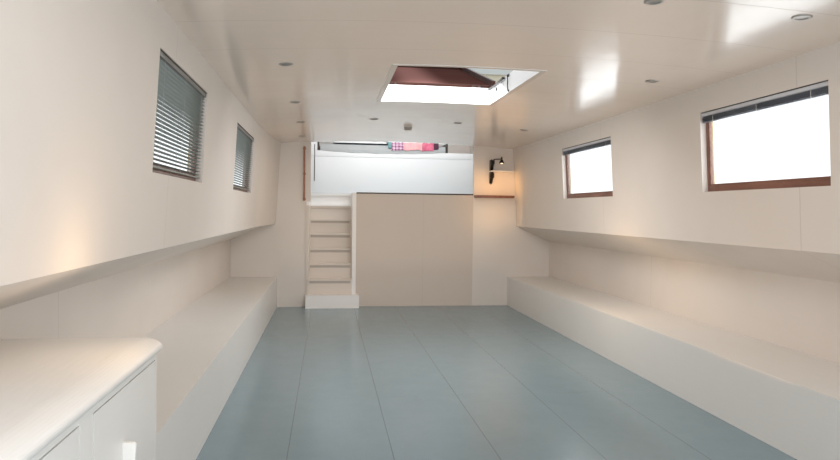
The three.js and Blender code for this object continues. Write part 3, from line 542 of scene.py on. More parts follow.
CEILING_SIDE_Z, CEILING_RISE, CEILING_HALF = 2.605, 0.07, 1.76


def ceiling(x):
    return CEILING_SIDE_Z + CEILING_RISE * (1 - (x / CEILING_HALF) ** 2)


# Ceiling lamps and vent
# Small recessed lamps with a dull steel ring pressed into each hole, and a turned steel cowl over
# the after vent.

LAMP_PLACES = (
    (-1.269, -2.314), (-1.286, -0.729), (-1.288, 0.656), (-1.33, 2.059), (-0.487, 0.465),
    (0.478, 0.583), (1.311, 0.768), (0.541, -3.90), (1.317, -3.891), (1.361, -2.278),
)
VENT_PLACE = (-0.032, 1.114)

steel = two_tone("dull_steel", "black_metal", (0.40, 0.385, 0.37), (0.54, 0.52, 0.50), (40, 3),
                 (0.32, 0.2), Metallic=0.9)
cowl_paint = two_tone("cowl_paint", "black_metal", (0.52, 0.49, 0.46), (0.62, 0.59, 0.56), (20, 3),
                      (0.5, 0.2), Specular_IOR_Level=0.3)


@piece(steel, 50)
def ceiling_lamps(bm):
    for x, y in LAMP_PLACES:
        down = (-2 * CEILING_RISE * x / CEILING_HALF**2, 0, -1)
        ring = [(0, 0.0006), (0.022, 0.0008), (0.026, 0.0012), (0.031, 0.0052), (0.036, 0.0066)]
        ring += [(0.043, 0.0054), (0.0465, 0.003), (0.047, -0.002)]
        lathe(bm, ring, (x, y, ceiling(x)), down)


@piece(cowl_paint, 30)
def vent_cowl(bm):
    x, y = VENT_PLACE
    plates = [(0.044, 0.003), (0.05, 0.008), (0.05, 0.0095), (0.034, 0.012)]
    profile = [(0.058, -0.002), (0.058, 0.003)]
    for i in range(3):
        profile += [(radius, along + 0.011 * i) for radius, along in plates]
    profile += [(0.046, 0.038), (0.02, 0.042), (0, 0.0425)]
    lathe(bm, profile, (x, y, ceiling(x)), (0, 0, -1))


# Roof fittings
# Varnished handrails on turned posts along both roof edges, and two brass mushroom vents.

WINDOWS = (
    # name, side, fore end, after end, blind lowered
    ("port_fore", -1, -3.595, -2.340, True),
    ("port_aft", -1, -0.890, 0.490, True),
    ("starboard_fore", 1, -3.520, -2.230, False),
    ("starboard_aft", 1, -0.640, 0.750, False),
)

coat = mahogany = Finish("mahogany", "mahogany", Coat_Weight=0.35, Coat_Roughness=0.15)
x, y, z = coat.axes()
upright = sum(y.line(end, 0.03, 0.002) for row in WINDOWS for end in row[2:4]).rise(0.0, 1.0)


def grain(scale, detail, rough, squeeze):
    """Grain along the boat, but upright in the window stiles."""
    along_y = coat.noise(scale, detail, rough, (1, squeeze, 1))
    along_z = coat.noise(scale, detail, rough, (1, 1, squeeze))
    return along_y * (1 - upright) + along_z * upright


rings = grain(16, 5, 0.6, 0.12)
pores = grain(90, 3, 0.7, 0.06)
red = coat.mix((0.13, 0.045, 0.026), (0.26, 0.11, 0.07), rings.rise(0.3, 0.7))
coat.paint(
    coat.mix(red, (0.07, 0.02, 0.01), pores.rise(0.55, 0.8) * 0.6),
    0.28 + pores * 0.2, pores, 0.0006,
)

coat = brass = Finish("brass", "copper_brass", Metallic=1)
tarnish = coat.noise(12, 4)
coat.paint(
    coat.mix((0.56, 0.40, 0.17), (0.30, 0.20, 0.09), tarnish.rise(0.4, 0.8)),
    0.22 + tarnish * 0.25,
)

ROOF_EDGE_Z, HANDRAIL_X = 2.655, 1.78
ROOF_TOP_Z, ROOF_CAMBER, ROOF_HALF = 2.755, 0.105, 1.89


@piece(mahogany, 35)
def roof_handrails(bm):
    for side in (-1, 1):
        x = side * HANDRAIL_X
        foot_z = ROOF_EDGE_Z + 0.006
        for y0, y1 in ((-5.7, -3.9), (-3.6, -1.8), (-1.5, 0.3), (0.6, 2.4)):
            tube(bm, [(x, y0, foot_z + 0.062), (x, y1, foot_z + 0.062)], 0.017)
            for y in (y0 + 0.12, (y0 + y1) / 2, y1 - 0.12):
                lathe(bm, [(0.026, 0), (0.024, 0.006), (0.013, 0.02), (0.015, 0.06)], (x, y, foot_z - 0.004))


@piece(brass, 35)
def roof_vents(bm):
    profile = [(0.09, -0.02), (0.09, 0.008), (0.062, 0.014), (0.06, 0.09), (0.066, 0.094)]
    profile += [(0.105, 0.098), (0.112, 0.106), (0.1, 0.122), (0.06, 0.138), (0.012, 0.144), (0, 0.144)]
    for x, y in ((-0.95, -4.6), (0.95, 1.6)):
        lathe(bm, profile, (x, y, ROOF_TOP_Z - ROOF_CAMBER * (x / ROOF_HALF) ** 2))


# Hatch
# A steel coaming through the roof, gloss white inside, and a mahogany lid on two strap hinges,
# folded back. Its underside is dark varnished ply with a painted sheen across the middle, between
# lips painted near black as painted shade.

COAMING_HALF = 0.51

coat = coaming_paint = Finish("coaming_paint", Specular_IOR_Level=0.9)
x, y, z = coat.axes()
brushed = coat.noise(45, 3, 0.6, (1, 1, 0.15))
lug = z.rise(2.8215, 2.8225)
# Painted shade: the downward-facing rim is mixed to a darker warm white than the coaming and the ceiling
# paint.
rim = 1 - coat.facing()[2].rise(-0.9, -0.6)
white = coat.mix((0.84, 0.84, 0.835), (0.79, 0.79, 0.785), brushed)
white = coat.mix(white, (0.63, 0.575, 0.53), rim)
coat.paint(
    coat.mix(white, (0.02, 0.018, 0.017), lug),
    0.27 + brushed * 0.12 - rim * 0.12, brushed * (1 - rim), 0.0006,
)
dress(coaming_paint, "hatch_coaming")

coat = dark_ply = Finish("dark_ply", "mahogany", Roughness=0.8, Specular_IOR_Level=0)
x, y, z = coat.axes()
band = coat.noise(7, 4, 0.6, (0.1, 1, 1))
# Painted reflection: the middle of the underside is painted lighter, with the real specular turned off.
painted_sheen = 1 - abs(x + 0.13).rise(0.03, 0.32)
ply = coat.mix((0.04, 0.017, 0.014), (0.07, 0.03, 0.025), band)
coat.paint(coat.mix(ply, (0.21, 0.10, 0.088), painted_sheen * 0.8), None, band, 0.0008)

# The lid's mahogany varnish is painted almost black, darker than the mahogany elsewhere: painted shade, so
# that its lips read dark.
coat = shaded_lid_varnish = Finish("shaded_lid_varnish", Specular_IOR_Level=0.2)
rings = coat.noise(12, 5, 0.6, (0.12, 1, 1))
pores = coat.noise(90, 3, 0.7, (0.06, 1, 1))
coat.paint(
    coat.mix((0.016, 0.006, 0.005), (0.05, 0.018, 0.012), rings.rise(0.3, 0.7)),
    0.32 + pores * 0.25, pores, 0.0006,
)
dress(shaded_lid_varnish, "hatch_lid")

HINGE_LINE = Vector((0.0, -0.69, 2.841))
LID_OPEN = radians(163)
LID_UNDER = -0.016
LID_EDGE = (0.562, -1.672, -0.042)


def folded_back(bm):
    """Turns what is drawn on the shut lid, about its hinge line, to where the lid lies open."""
    spot = Matrix.Translation(HINGE_LINE) @ Matrix.Rotation(-LID_OPEN, 4, "X")
    bmesh.ops.transform(bm, matrix=spot, verts=bm.verts)


@piece(dark_ply, 40, body="hatch_lid")
def lid_lining(bm):
    half, fore, aft = LID_EDGE
    low = (0.012 - half, fore + 0.034, LID_UNDER - 0.0032)
    block(bm, low, (half - 0.012, aft - 0.012, LID_UNDER - 0.0004), 0.001)
    folded_back(bm)


black_metal = two_tone("black_metal", "black_metal", (0.015, 0.013, 0.012), (0.032, 0.028, 0.026), (20,),
                       (0.3, 0.2), Metallic=0.4)


@piece(black_metal, 40)
def hatch_stay(bm):
    face = COAMING_HALF - 0.006
    x = face - 0.014
    block(bm, (face - 0.004, -0.86, 2.795), (face + 0.007, -0.80, 2.815), 0.002)
    tube(bm, [(x, -0.83, 2.798), (x, -1.05, 2.793), (x, -1.33, 2.806)], 0.0105)
    knuckle = [(0, 0), (0.011, 0.001), (0.011, 0.012), (0, 0.013)]
    lathe(bm, knuckle, (face - 0.02, -1.053, 2.793), (1, 0, 0), 14)
    pin = [(0, 0), (0.009, 0.001), (0.009, 0.02), (0, 0.021)]
    lathe(bm, pin, (face - 0.018, -1.33, 2.806), (1, 0, 0), 14)
    block(bm, (face - 0.002, -1.075, 2.745), (face + 0.007, -1.035, 2.775), 0.003)


@piece(black_metal, 40)
def hatch_hook(bm):
    x, y, z = COAMING_HALF - 0.014, -1.452, 2.806
    block(bm, (x + 0.008, y - 0.016, z - 0.012), (x + 0.0155, y + 0.016, z + 0.012), 0.002)
    circle = [2 * pi * k / 14 for k in range(14)]
    tube(bm, [(x, y + 0.011 * cos(a), z - 0.006 + 0.011 * sin(a)) for a in circle], 0.003, 8, True)
    shank = [(x, y, z - 0.014), (x, y - 0.006, z - 0.05), (x, y - 0.02, z - 0.122)]
    bend = [(x, y - 0.03, z - 0.14), (x, y - 0.042, z - 0.142), (x, y - 0.046, z - 0.128)]
    tube(bm, shank + bend, 0.0045, 10)


# Saloon windows
# Fixed panes in mahogany frames set deep in the cabin sides, which lean in. A slim mitred bead holds
# each pane from inside, and a screwed brass ring covers the joint outside.

WALL_LEAN = 70 / 1155
WALL_THICK = 0.095
GLASS_LOW, GLASS_HIGH = 1.878, 2.393
OPENING_LOW, OPENING_HIGH = 1.833, 2.424
dress(mahogany, *[f"window_frame_{name}" for name, *_ in WINDOWS])

coat = pane_glass = Finish("pane_glass", Alpha=0.1, Base_Color=(0.8, 0.88, 0.86, 1))
smear = coat.noise(4)
coat.feed(Roughness=0.02 + smear * 0.03)
dress(pane_glass, *[name for name in nodes if name.startswith("window_glass")])


def wall_place(side):
    """Puts (along, height, depth from the inner face) on a leaning cabin side."""
    return lambda y, z, out: Vector((side * (CEILING_HALF + (CEILING_SIDE_Z - z) * WALL_LEAN + out), y, z))


def mitred_ring(bm, place, outer, inner, depth, bevel=0.0015):
    """Four mitred strips round an opening. outer and inner are (a0, a1, b0, b1) in the wall."""
    before = set(bm.verts)
    loops = []
    for a0, a1, b0, b1 in (outer, inner):
        for d in depth:
            corners = ((a0, b0), (a1, b0), (a1, b1), (a0, b1))
            loops.append([bm.verts.new(place(a, b, d)) for a, b in corners])
    out0, out1, in0, in1 = loops
    for a, b in ((out0, in0), (in0, in1), (in1, out1), (out1, out0)):
        join(bm, a, b)
    soften(bm, [vert for vert in bm.verts if vert not in before], bevel)


def around(box, grow):
    a0, a1, b0, b1 = box
    return (a0 - grow, a1 + grow, b0 - grow, b1 + grow)


def screw_heads(bm, place, box, depth, spacing, radius=0.0035, out=1):
    """Countersunk heads along a rectangle in the wall."""
    a0, a1, b0, b1 = box
    spots = []
    for (a, b), (c, d) in (((a0, b0), (a1, b0)), ((a1, b0), (a1, b1))):
        steps = max(1, round((c - a + d - b) / spacing))
        for t in ((i + 0.5) / steps for i in range(steps)):
            spot = (a + (c - a) * t, b + (d - b) * t)
            spots += [spot, (a0 + a1 - spot[0], b0 + b1 - spot[1])]
    head = [(radius, -0.001), (radius, 0.0006), (radius * 0.6, 0.0012), (0, 0.0012)]
    for a, b in spots:
        at = place(a, b, depth)
        lathe(bm, head, at, place(a, b, depth + out) - at, 10)


@piece(mahogany, 30)
def window_beads(bm):
    for _, side, y0, y1, _ in WINDOWS:
        pane = (y0 + 0.031, y1 - 0.031, GLASS_LOW + 0.001, GLASS_HIGH - 0.001)
        mitred_ring(bm, wall_place(side), around(pane, 0.002), around(pane, -0.009), (0.046, 0.0545), 0.002)


@piece(brass, 30)
def window_rims(bm):
    for _, side, y0, y1, _ in WINDOWS:
        place = wall_place(side)
        hole = (y0, y1, OPENING_LOW, OPENING_HIGH)
        depth = (WALL_THICK - 0.001, WALL_THICK + 0.005)
        mitred_ring(bm, place, around(hole, 0.03), around(hole, -0.004), depth)
        screw_heads(bm, place, around(hole, 0.014), WALL_THICK + 0.005, 0.16)


# Venetian blinds
# Narrow crowned aluminium slats on ladder tapes under a pressed headrail. The port pair is let down
# with its slats level, and the starboard pair is drawn up into a stack.

SLATS = 24
SLAT_WIDE, SLAT_CROWN, SLAT_THICK = 0.025, 0.0022, 0.0006
RAIL_LOW, RAIL_HIGH = 2.390, 2.4145
BLIND_OUT = (0.0085, 0.0355)
LOWERED_LOW, RAISED_LOW = 1.856, 2.343

coat = slat_paint = Finish("slat_paint", "blind_slats", Metallic=0.25)
x, y, z = coat.axes()
tint = coat.noise(3)
scratch = coat.noise(40, 3, 0.6, (1, 0.05, 1))
starboard = x.rise(-0.1, 0.1)
port_green = coat.mix((0.28, 0.315, 0.295), (0.33, 0.365, 0.345), tint)
# Painted highlights: pale bands across the drawn-up stack stand for light caught on the slat edges.
layer = (z / 0.0052).part().line(0.5, 0.12, 0.1)
navy_grey = coat.mix((0.05, 0.062, 0.09), (0.085, 0.10, 0.135), tint)
navy_grey = coat.mix(navy_grey, (0.34, 0.37, 0.42), layer * 0.7)
coat.paint(coat.mix(port_green, navy_grey, starboard), 0.3 + scratch * 0.15, scratch, 0.0002)

coat = rail_paint = Finish("rail_paint", "blind_slats", Metallic=0.5)
x, y, z = coat.axes()
haze = coat.noise(25, 3, 0.6, (1, 0.05, 1))
starboard = x.rise(-0.1, 0.1)
dark = coat.mix((0.20, 0.20, 0.19), (0.26, 0.26, 0.25), haze)
pale = coat.mix((0.60, 0.62, 0.66), (0.72, 0.74, 0.78), haze)
coat.paint(coat.mix(dark, pale, starboard), 0.35 + haze * 0.15)

# Near black, for the strips that stand as painted shade in the gaps over the headrails.
shadow_gap_black = two_tone("shadow_gap_black", "black_metal", (0.022, 0.02, 0.018), (0.05, 0.045, 0.04), (30,),
                         (0.4, 0.2), Metallic=0.6)
ladder_tape = two_tone("ladder_tape", "blind_slats", (0.42, 0.43, 0.43), (0.6, 0.6, 0.6), (500, 2),
                       Roughness=0.8)


def slat(bm, place, y0, y1, z, tilt=0.0):
    """One crowned strip, from side to side of the window."""
    middle = sum(BLIND_OUT) / 2
    rows = []
    for k in range(5):
        across = (k / 4 - 0.5) * SLAT_WIDE
        arch = SLAT_CROWN * (1 - (across / (SLAT_WIDE / 2)) ** 2)
        rows.append((middle + across, z + arch + across * tan(tilt)))
    loop = [(out, high) for out, high in rows] + [(out, high - SLAT_THICK) for out, high in reversed(rows)]
    ends = [[bm.verts.new(place(y, high, out)) for out, high in loop] for y in (y0, y1)]
    join(bm, *ends)
    for end in ends:
        for k in range(4):
            bm.faces.new((end[k], end[k + 1], end[-k - 2], end[-k - 1]))


def slab(bm, place, y0, y1, z0, z1, out0, out1, bevel):
    before = set(bm.verts)
    block(bm, (out0, y0, z0), (out1, y1, z1), bevel)
    for vert in bm.verts:
        if vert not in before:
            vert.co = place(vert.co.y, vert.co.z, vert.co.x)


for name, side, fore, aft, lowered in WINDOWS:
    place = wall_place(side)
    y0, y1 = fore + 0.009, aft - 0.009
    low = LOWERED_LOW if lowered else RAISED_LOW

    @piece(slat_paint, 30, name=f"slats_{name}")
    def slats(bm):
        if lowered:
            pitch = (RAIL_LOW - 0.004 - low - 0.014) / SLATS
            for i in range(SLATS):
                slat(bm, place, y0 + 0.002, y1 - 0.002, low + 0.012 + pitch * (i + 0.5), -0.17)
        else:
            pitch = (RAIL_LOW - low - 0.013) / SLATS
            for i in range(SLATS):
                shift = 0.0015 * sin(i * 2.4)
                slat(bm, place, y0 + 0.002 + shift, y1 - 0.002 + shift, low + 0.01 + pitch * i)
        slab(bm, place, y0 + 0.002, y1 - 0.002, low, low + 0.008, 0.0105, 0.0335, 0.0025)

    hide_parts(f"blind_{name}")

    @piece(rail_paint, 30, name=f"headrail_{name}")
    def headrail(bm):
        slab(bm, place, y0, y1, RAIL_LOW, RAIL_HIGH, *BLIND_OUT, 0.002)
        for end in (y0, y1 - 0.012):
            slab(bm, place, end, end + 0.012, RAIL_LOW - 0.001, RAIL_HIGH, 0.0078, 0.0362, 0.002)

    # Painted shade: a near-black strip fills the gap between the headrail and the top of the opening, for
    # the shadow there.
    @piece(shadow_gap_black, 30, name=f"rail_shadow_gap_{name}")
    def shadow_gap_strip(bm):
        top = OPENING_HIGH - 0.0006
        slab(bm, place, y0 - 0.004, y1 + 0.004, RAIL_HIGH + 0.001, top, 0.007, 0.037, 0.001)

    @piece(ladder_tape, name=f"ladders_{name}")
    def ladders(bm):
        for at in (y0 + 0.14, (y0 + y1) / 2, y1 - 0.14):
            wide = 0.0007 if lowered else 0.003
            for out in (0.0082, 0.0346):
                slab(bm, place, at - wide, at + wide, low + 0.001, RAIL_LOW, out, out + 0.0012, 0.0002)
            if not lowered:
                slab(bm, place, at - 0.007, at + 0.007, low - 0.001, low + 0.006, 0.009, 0.035, 0.002)


# After bulkhead and parapet
# Painted ply panels close the saloon each side of the opening and under the landing. A dark hardwood
# strip caps the parapet's front edge.

PARAPET_X, PARAPET_TOP_Z, BULKHEAD_Y = (-0.575, 1.16), 1.918, 2.81

dress(wall_paint, "bulkhead_port", "bulkhead_starboard")

coat = parapet_paint = Finish("parapet_paint", Specular_IOR_Level=0.45)
x, y, z = coat.axes()
cloud = coat.noise(1)
roller = coat.noise(260, 2, 0.6)
butt = x.line(0.41, 0.001, 0.002)
face = coat.mix((0.68, 0.605, 0.54), (0.63, 0.555, 0.495), cloud)
coat.paint(coat.mix(face, (0.40, 0.35, 0.31), butt * 0.3), 0.42 + roller * 0.1, roller - butt, 0.0005)
dress(parapet_paint, "parapet")

coat = dark_wood = Finish("dark_wood", "dark_wood", Specular_IOR_Level=0.35)
streaks = coat.noise(14, 4, 0.6, (0.2, 0.2, 1))
coat.paint(
    coat.mix((0.045, 0.035, 0.03), (0.10, 0.078, 0.066), streaks),
    0.4 + streaks * 0.2, streaks, 0.0006,
)


@piece(dark_wood, 40)
def parapet_cap(bm):
    (x0, x1), z = PARAPET_X, PARAPET_TOP_Z
    block(bm, (x0 + 0.002, BULKHEAD_Y - 0.009, z - 0.012), (x1 - 0.002, 2.872, z + 0.007), 0.003)


# Companion stairs
# Softwood treads with rounded nosings over closed risers, housed in a string and a newel, all in
# cream enamel worn a little thin on the treads, with painted shade in the corners under the nosings.
# The top riser is painted near white as painted light from the raised cabin.

coat = stair_paint = Finish("stair_paint", Specular_IOR_Level=0.45)
x, y, z = coat.axes()
nx, ny, nz = coat.facing()
strokes = coat.noise(55, 3, 0.6, (0.1, 1, 1))
FIRST_TREAD_Z, RISE = 0.447, 0.215
level = ((z - FIRST_TREAD_Z) / RISE).part()
on_risers = (1 - abs(ny + 1).rise(0.1, 0.3)) * z.line(1.07, 0.61, 0.01) * x.line(-0.945, 0.29, 0.005)
# Painted shade: each riser is darkened in a band just under the nosing above it.
corner = level.line(0.80, 0.05, 0.06) * on_risers
worn = coat.noise(9, 5, 0.7).rise(0.5, 0.7) * nz.rise(0.5, 0.9) * x.line(-0.93, 0.12, 0.2)
# Near white on the top riser, as painted light from the raised cabin, and on the bottom step and the newel
# band.
ends = z.rise(1.72, 1.725) + 1 - z.rise(FIRST_TREAD_Z - 0.001, FIRST_TREAD_Z + 0.001)
cream = coat.mix((0.77, 0.71, 0.65), (0.73, 0.665, 0.60), strokes)
cream = coat.mix(cream, (0.90, 0.89, 0.875), (ends + x.line(-0.60, 0.03, 0.004)).rise(0, 1))
cream = coat.mix(cream, (0.50, 0.44, 0.38), worn * 0.5)
coat.paint(
    coat.mix(cream, (0.36, 0.31, 0.27), corner * 0.6),
    0.34 + strokes * 0.12 + worn * 0.15, strokes, 0.0006,
)
dress(stair_paint, "companion_stairs")

# Berth
# A white ply front under a bed with dark wooden ends. A lip along its top keeps the mattress in, a
# panel fills in beside the port bed end, and a dark cover strip hides the joint there.

BERTH_FACE_Y = 4.40

coat = berth_paint = Finish("berth_paint", "joinery_paint", Specular_IOR_Level=0.4)
cloud = coat.noise(1.2)
rolled = coat.noise(220, 2)
coat.paint(
    coat.mix((0.84, 0.85, 0.855), (0.80, 0.81, 0.82), cloud),
    0.4 + rolled * 0.1, rolled, 0.0004,
)
dress(berth_paint, "berth")
dress(dark_wood, "bed_end_port", "bed_end_starboard")


@piece(berth_paint, 40)
def berth_moulding(bm):
    block(bm, (-1.70, BERTH_FACE_Y - 0.007, 2.560), (1.70, BERTH_FACE_Y + 0.002, 2.662), 0.002)
    block(bm, (-1.70, BERTH_FACE_Y - 0.008, 1.92), (1.70, BERTH_FACE_Y + 0.002, 1.968), 0.003)


@piece(berth_paint, 40)
def berth_end_panel(bm):
    block(bm, (-1.72, BERTH_FACE_Y - 0.005, 2.612), (-1.176, BERTH_FACE_Y + 0.013, 2.86), 0.002)


@piece(dark_wood, 40)
def berth_cover_strip(bm):
    block(bm, (-1.217, BERTH_FACE_Y - 0.013, 2.144), (-1.205, BERTH_FACE_Y - 0.004, 2.76), 0.003)


# Mattress
# A sprung mattress in slate-blue ticking, piped along both edges. It is drawn as a closed case and
# filled with air pressure, so its sides crown between the piped seams.

MATTRESS_LOW, MATTRESS_HIGH = (-1.136, 4.428, 2.618), (1.026, 5.808, 2.782)

coat = ticking = Finish("ticking", "grey_fabric", Roughness=0.92, Sheen_Weight=0.25)
x, y, z = coat.axes()
warp = (x * 700).sine() * 0.5 + (z * 700).sine() * 0.5
fade = coat.noise(4, 3)
blue_grey = coat.mix((0.20, 0.235, 0.26), (0.25, 0.29, 0.315), fade)
dark_thread = coat.mix(blue_grey, (0.15, 0.175, 0.20), warp.rise(0.2, 0.9) * 0.4)
coat.paint(dark_thread, None, warp + coat.noise(60, 3) * 2, 0.0006)


def settle(obj):
    """Turns what the modifiers show into the piece's own mesh."""
    shown = obj.evaluated_get(bpy.context.evaluated_depsgraph_get())
    mesh = bpy.data.meshes.new_from_object(shown)
    obj.modifiers.clear()
    obj.data = mesh


def blow_up(obj, cap, low, high):
    """Blows a closed case up as cloth, holding each point within cap of where it began."""
    remesh = obj.modifiers.new("weave", "REMESH")
    remesh.mode = "VOXEL"
    remesh.voxel_size = 0.03
    settle(obj)
    start = [vert.co.copy() for vert in obj.data.vertices]
    cloth = obj.modifiers.new("case", "CLOTH")
    cloth.settings.quality = 4
    cloth.settings.mass = 0.4
    cloth.settings.use_pressure = True
    cloth.settings.uniform_pressure_force = 4
    cloth.settings.effector_weights.gravity = 0
    for step in range(1, 21):
        bpy.context.scene.frame_set(step)
    settle(obj)
    bpy.context.scene.frame_set(1)
    for vert, rest in zip(obj.data.vertices, start):
        move = vert.co - rest
        if move.length > cap:
            move *= cap / move.length
        vert.co = [min(max(c, a), b) for c, a, b in zip(rest + move, low, high)]
    obj.data.shade_smooth()
    smooth = obj.modifiers.new("smooth", "SUBSURF")
    smooth.levels = smooth.render_levels = 1


@piece(ticking)
def mattress_case(bm):
    block(bm, MATTRESS_LOW, MATTRESS_HIGH, 0.035)


blow_up(mattress_case, 0.014, (-1.139, 4.413, 2.6165), (1.029, 5.819, 2.801))
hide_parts("mattress")

piping_fabric = two_tone("piping_fabric", "grey_fabric", (0.13, 0.15, 0.165), (0.19, 0.21, 0.23),
                         (400, 2), Roughness=0.9)


@piece(piping_fabric, 60)
def mattress_piping(bm):
    tree = BVHTree.FromObject(mattress_case, bpy.context.evaluated_depsgraph_get())
    (x0, y0, z0), (x1, y1, z1) = MATTRESS_LOW, MATTRESS_HIGH
    r = 0.05
    corners = ((x1 - r, y1 - r, 0), (x0 + r, y1 - r, 90), (x0 + r, y0 + r, 180), (x1 - r, y0 + r, 270))
    for height in (z0 + 0.022, z1 - 0.010):
        path = []
        for cx, cy, start in corners:
            for a in (radians(start + 15 * step) for step in range(7)):
                path.append(Vector((cx + r * cos(a), cy + r * sin(a), height)))
        on_case = []
        for a, b in zip(path, path[1:] + path[:1]):
            count = max(1, round((b - a).length / 0.05))
            for i in range(count):
                found = tree.find_nearest(a.lerp(b, i / count))[0]
                on_case.append((found.x, found.y, height))
        tube(bm, on_case, 0.0045, 8, closed=True)


# Under-blanket
# A pale grey wool blanket tucked over the mattress front, hanging in a shallow curve over the top of
# the berth front.

coat = wool = Finish("wool", "blanket_wool", Roughness=0.95, Sheen_Weight=0.3)
fluff = coat.noise(240, 3)
pale_grey = coat.mix((0.40, 0.415, 0.42), (0.46, 0.475, 0.475), coat.noise(3, 3))
coat.paint(coat.mix(pale_grey, (0.30, 0.31, 0.32), fluff * 0.4), None, fluff, 0.0012)

BLANKET_X = (-1.118, 1.008)


def weave(bm, grid):
    """Faces between rows of points."""
    for a, b in zip(grid, grid[1:]):
        for j in range(len(a) - 1):
            bm.faces.new((a[j], a[j + 1], b[j + 1], b[j]))


def strip_of_cloth(bm, rows, thick):
    """A closed sheet from rows of points: its two faces stand half of thick each side of them."""
    grid = [[Vector(point) for point in row] for row in rows]
    high, wide = len(grid), len(grid[0])
    layers = []
    for sign in (1, -1):
        layer = []
        for i in range(high):
            line = []
            for j in range(wide):
                down = grid[min(i + 1, high - 1)][j] - grid[max(i - 1, 0)][j]
                over = grid[i][min(j + 1, wide - 1)] - grid[i][max(j - 1, 0)]
                line.append(bm.verts.new(grid[i][j] + sign * thick / 2 * over.cross(down).normalized()))
            layer.append(line)
        layers.append(layer)
    for layer in layers:
        weave(bm, layer)
    rim = [(0, j) for j in range(wide)] + [(i, wide - 1) for i in range(1, high)]
    rim += [(high - 1, j) for j in range(wide - 2, -1, -1)] + [(i, 0) for i in range(high - 2, 0, -1)]
    for (i, j), (k, m) in zip(rim, rim[1:] + rim[:1]):
        bm.faces.new((layers[0][i][j], layers[0][k][m], layers[1][k][m], layers[1][i][j]))


@piece(wool, 60)
def under_blanket(bm):
    x0, x1 = BLANKET_X
    top_z = MATTRESS_HIGH[2] - 0.016
    rows = []
    for t in (i / 14 for i in range(15)):
        row = []
        for u in (j / 60 for j in range(61)):
            hem = 2.660 - 0.034 * sin(pi * min(1.0, u * 1.05)) ** 0.8
            fold = 0.004 * t * sin(u * 40 + 1.2 * sin(u * 9))
            y = 4.4105 - 0.022 * min(1.0, t * 1.6) + fold
            row.append((x0 + (x1 - x0) * u, min(y, 4.411), top_z + (hem - top_z) * t))
        rows.append(row)
    strip_of_cloth(bm, rows, 0.003)


# Quilt and folded throws
# A white quilt lies on the mattress. Five thin wool throws, each folded in layers, hang side by
# side over its front edge, and a folded towel lies to port.

coat = linen = Finish("linen", "grey_fabric", Roughness=0.85, Sheen_Weight=0.2)
crease = coat.noise(9, 4, 0.6)
white = coat.mix((0.80, 0.82, 0.84), (0.70, 0.73, 0.77), crease.rise(0.4, 0.8))
coat.paint(white, None, crease * 3 + coat.noise(500, 2) * 0.2, 0.003)

QUILT_X, QUILT_Y, QUILT_LOW, QUILT_HIGH = (-0.90, 0.008), (4.436, 5.70), 2.8015, 0.055


@piece(linen, 80)
def quilt(bm):
    (x0, x1), (y0, y1) = QUILT_X, QUILT_Y
    wide, deep = 56, 44
    for above in (1, 0):
        grid = []
        for v in (2 * i / deep - 1 for i in range(deep + 1)):
            v = copysign(abs(v) ** 0.75, v)
            row = []
            for u in (2 * j / wide - 1 for j in range(wide + 1)):
                u = copysign(abs(u) ** 0.75, u)
                edge = max(0.0, (1 - abs(u) ** 12) * (1 - abs(v) ** 12)) ** 0.4
                x = x0 + (x1 - x0) * (u + 1) / 2
                y = y0 + (y1 - y0) * (v + 1) / 2
                puff = 0.72 + 0.28 * abs(sin(4 * pi * (u + 1) / 2) * sin(3 * pi * (v + 1) / 2))
                rumple = 0.16 * noise.noise(Vector((x * 5, y * 5, 2)))
                row.append(bm.verts.new((x, y, QUILT_LOW + above * QUILT_HIGH * edge * (puff + rumple))))
            grid.append(row)
        weave(bm, grid)
    bmesh.ops.remove_doubles(bm, verts=bm.verts, dist=0.0004)


EIGHTHS = [radians(degrees) for degrees in (45, 90, 135)]


def fold_over(y, z, radius, out):
    """Points round the half turn from one flat layer up to the next."""
    return [(y + out * radius * sin(a), z + radius * (1 - cos(a))) for a in EIGHTHS]


def layered_path(front, top, back, low, layers, gap, radius=0.02):
    """The side view of a cloth folded to and fro over an edge, as (y, z) points."""
    path = []
    for k in range(layers):
        off = 0.003 + gap * k
        run = [(back - (back - front - radius) * i / 9, top + off) for i in range(10)]
        arc = [radians(15 * i) for i in range(1, 7)]
        r = radius + off
        run += [(front + radius - r * sin(a), top - radius + r * cos(a)) for a in arc]
        run += [(front - off, top - radius - (top - radius - low) * i / 5) for i in range(1, 6)]
        path += run if k % 2 == 0 else run[::-1]
        if k == layers - 1:
            break
        if k % 2 == 0:
            path += [(front - off - gap / 2 * (1 - cos(a)), low - gap / 2 * sin(a)) for a in EIGHTHS]
        else:
            path += fold_over(back, top + off, gap / 2, 1)
    return path


def throw_finish(name, pale, deep, check=None):
    """Brushed wool, plain in two tones or woven in a check of a third colour."""
    made = Finish(name, "blanket_wool", Roughness=0.95, Sheen_Weight=0.3)
    x, y, z = made.axes()
    fluff = made.noise(260, 3)
    tone = made.noise(14, 3)
    colour = made.mix(pale, deep, tone.rise(0.3, 0.7) * 0.6 + fluff * 0.2)
    if check:
        upright = (x / 0.058).part().line(0.5, 0.17, 0.04)
        level = ((z + y * 0.6) / 0.05).part().line(0.5, 0.17, 0.04)
        colour = made.mix(colour, check, (upright + level) * 0.5)
    made.paint(colour, None, fluff, 0.001)
    return made


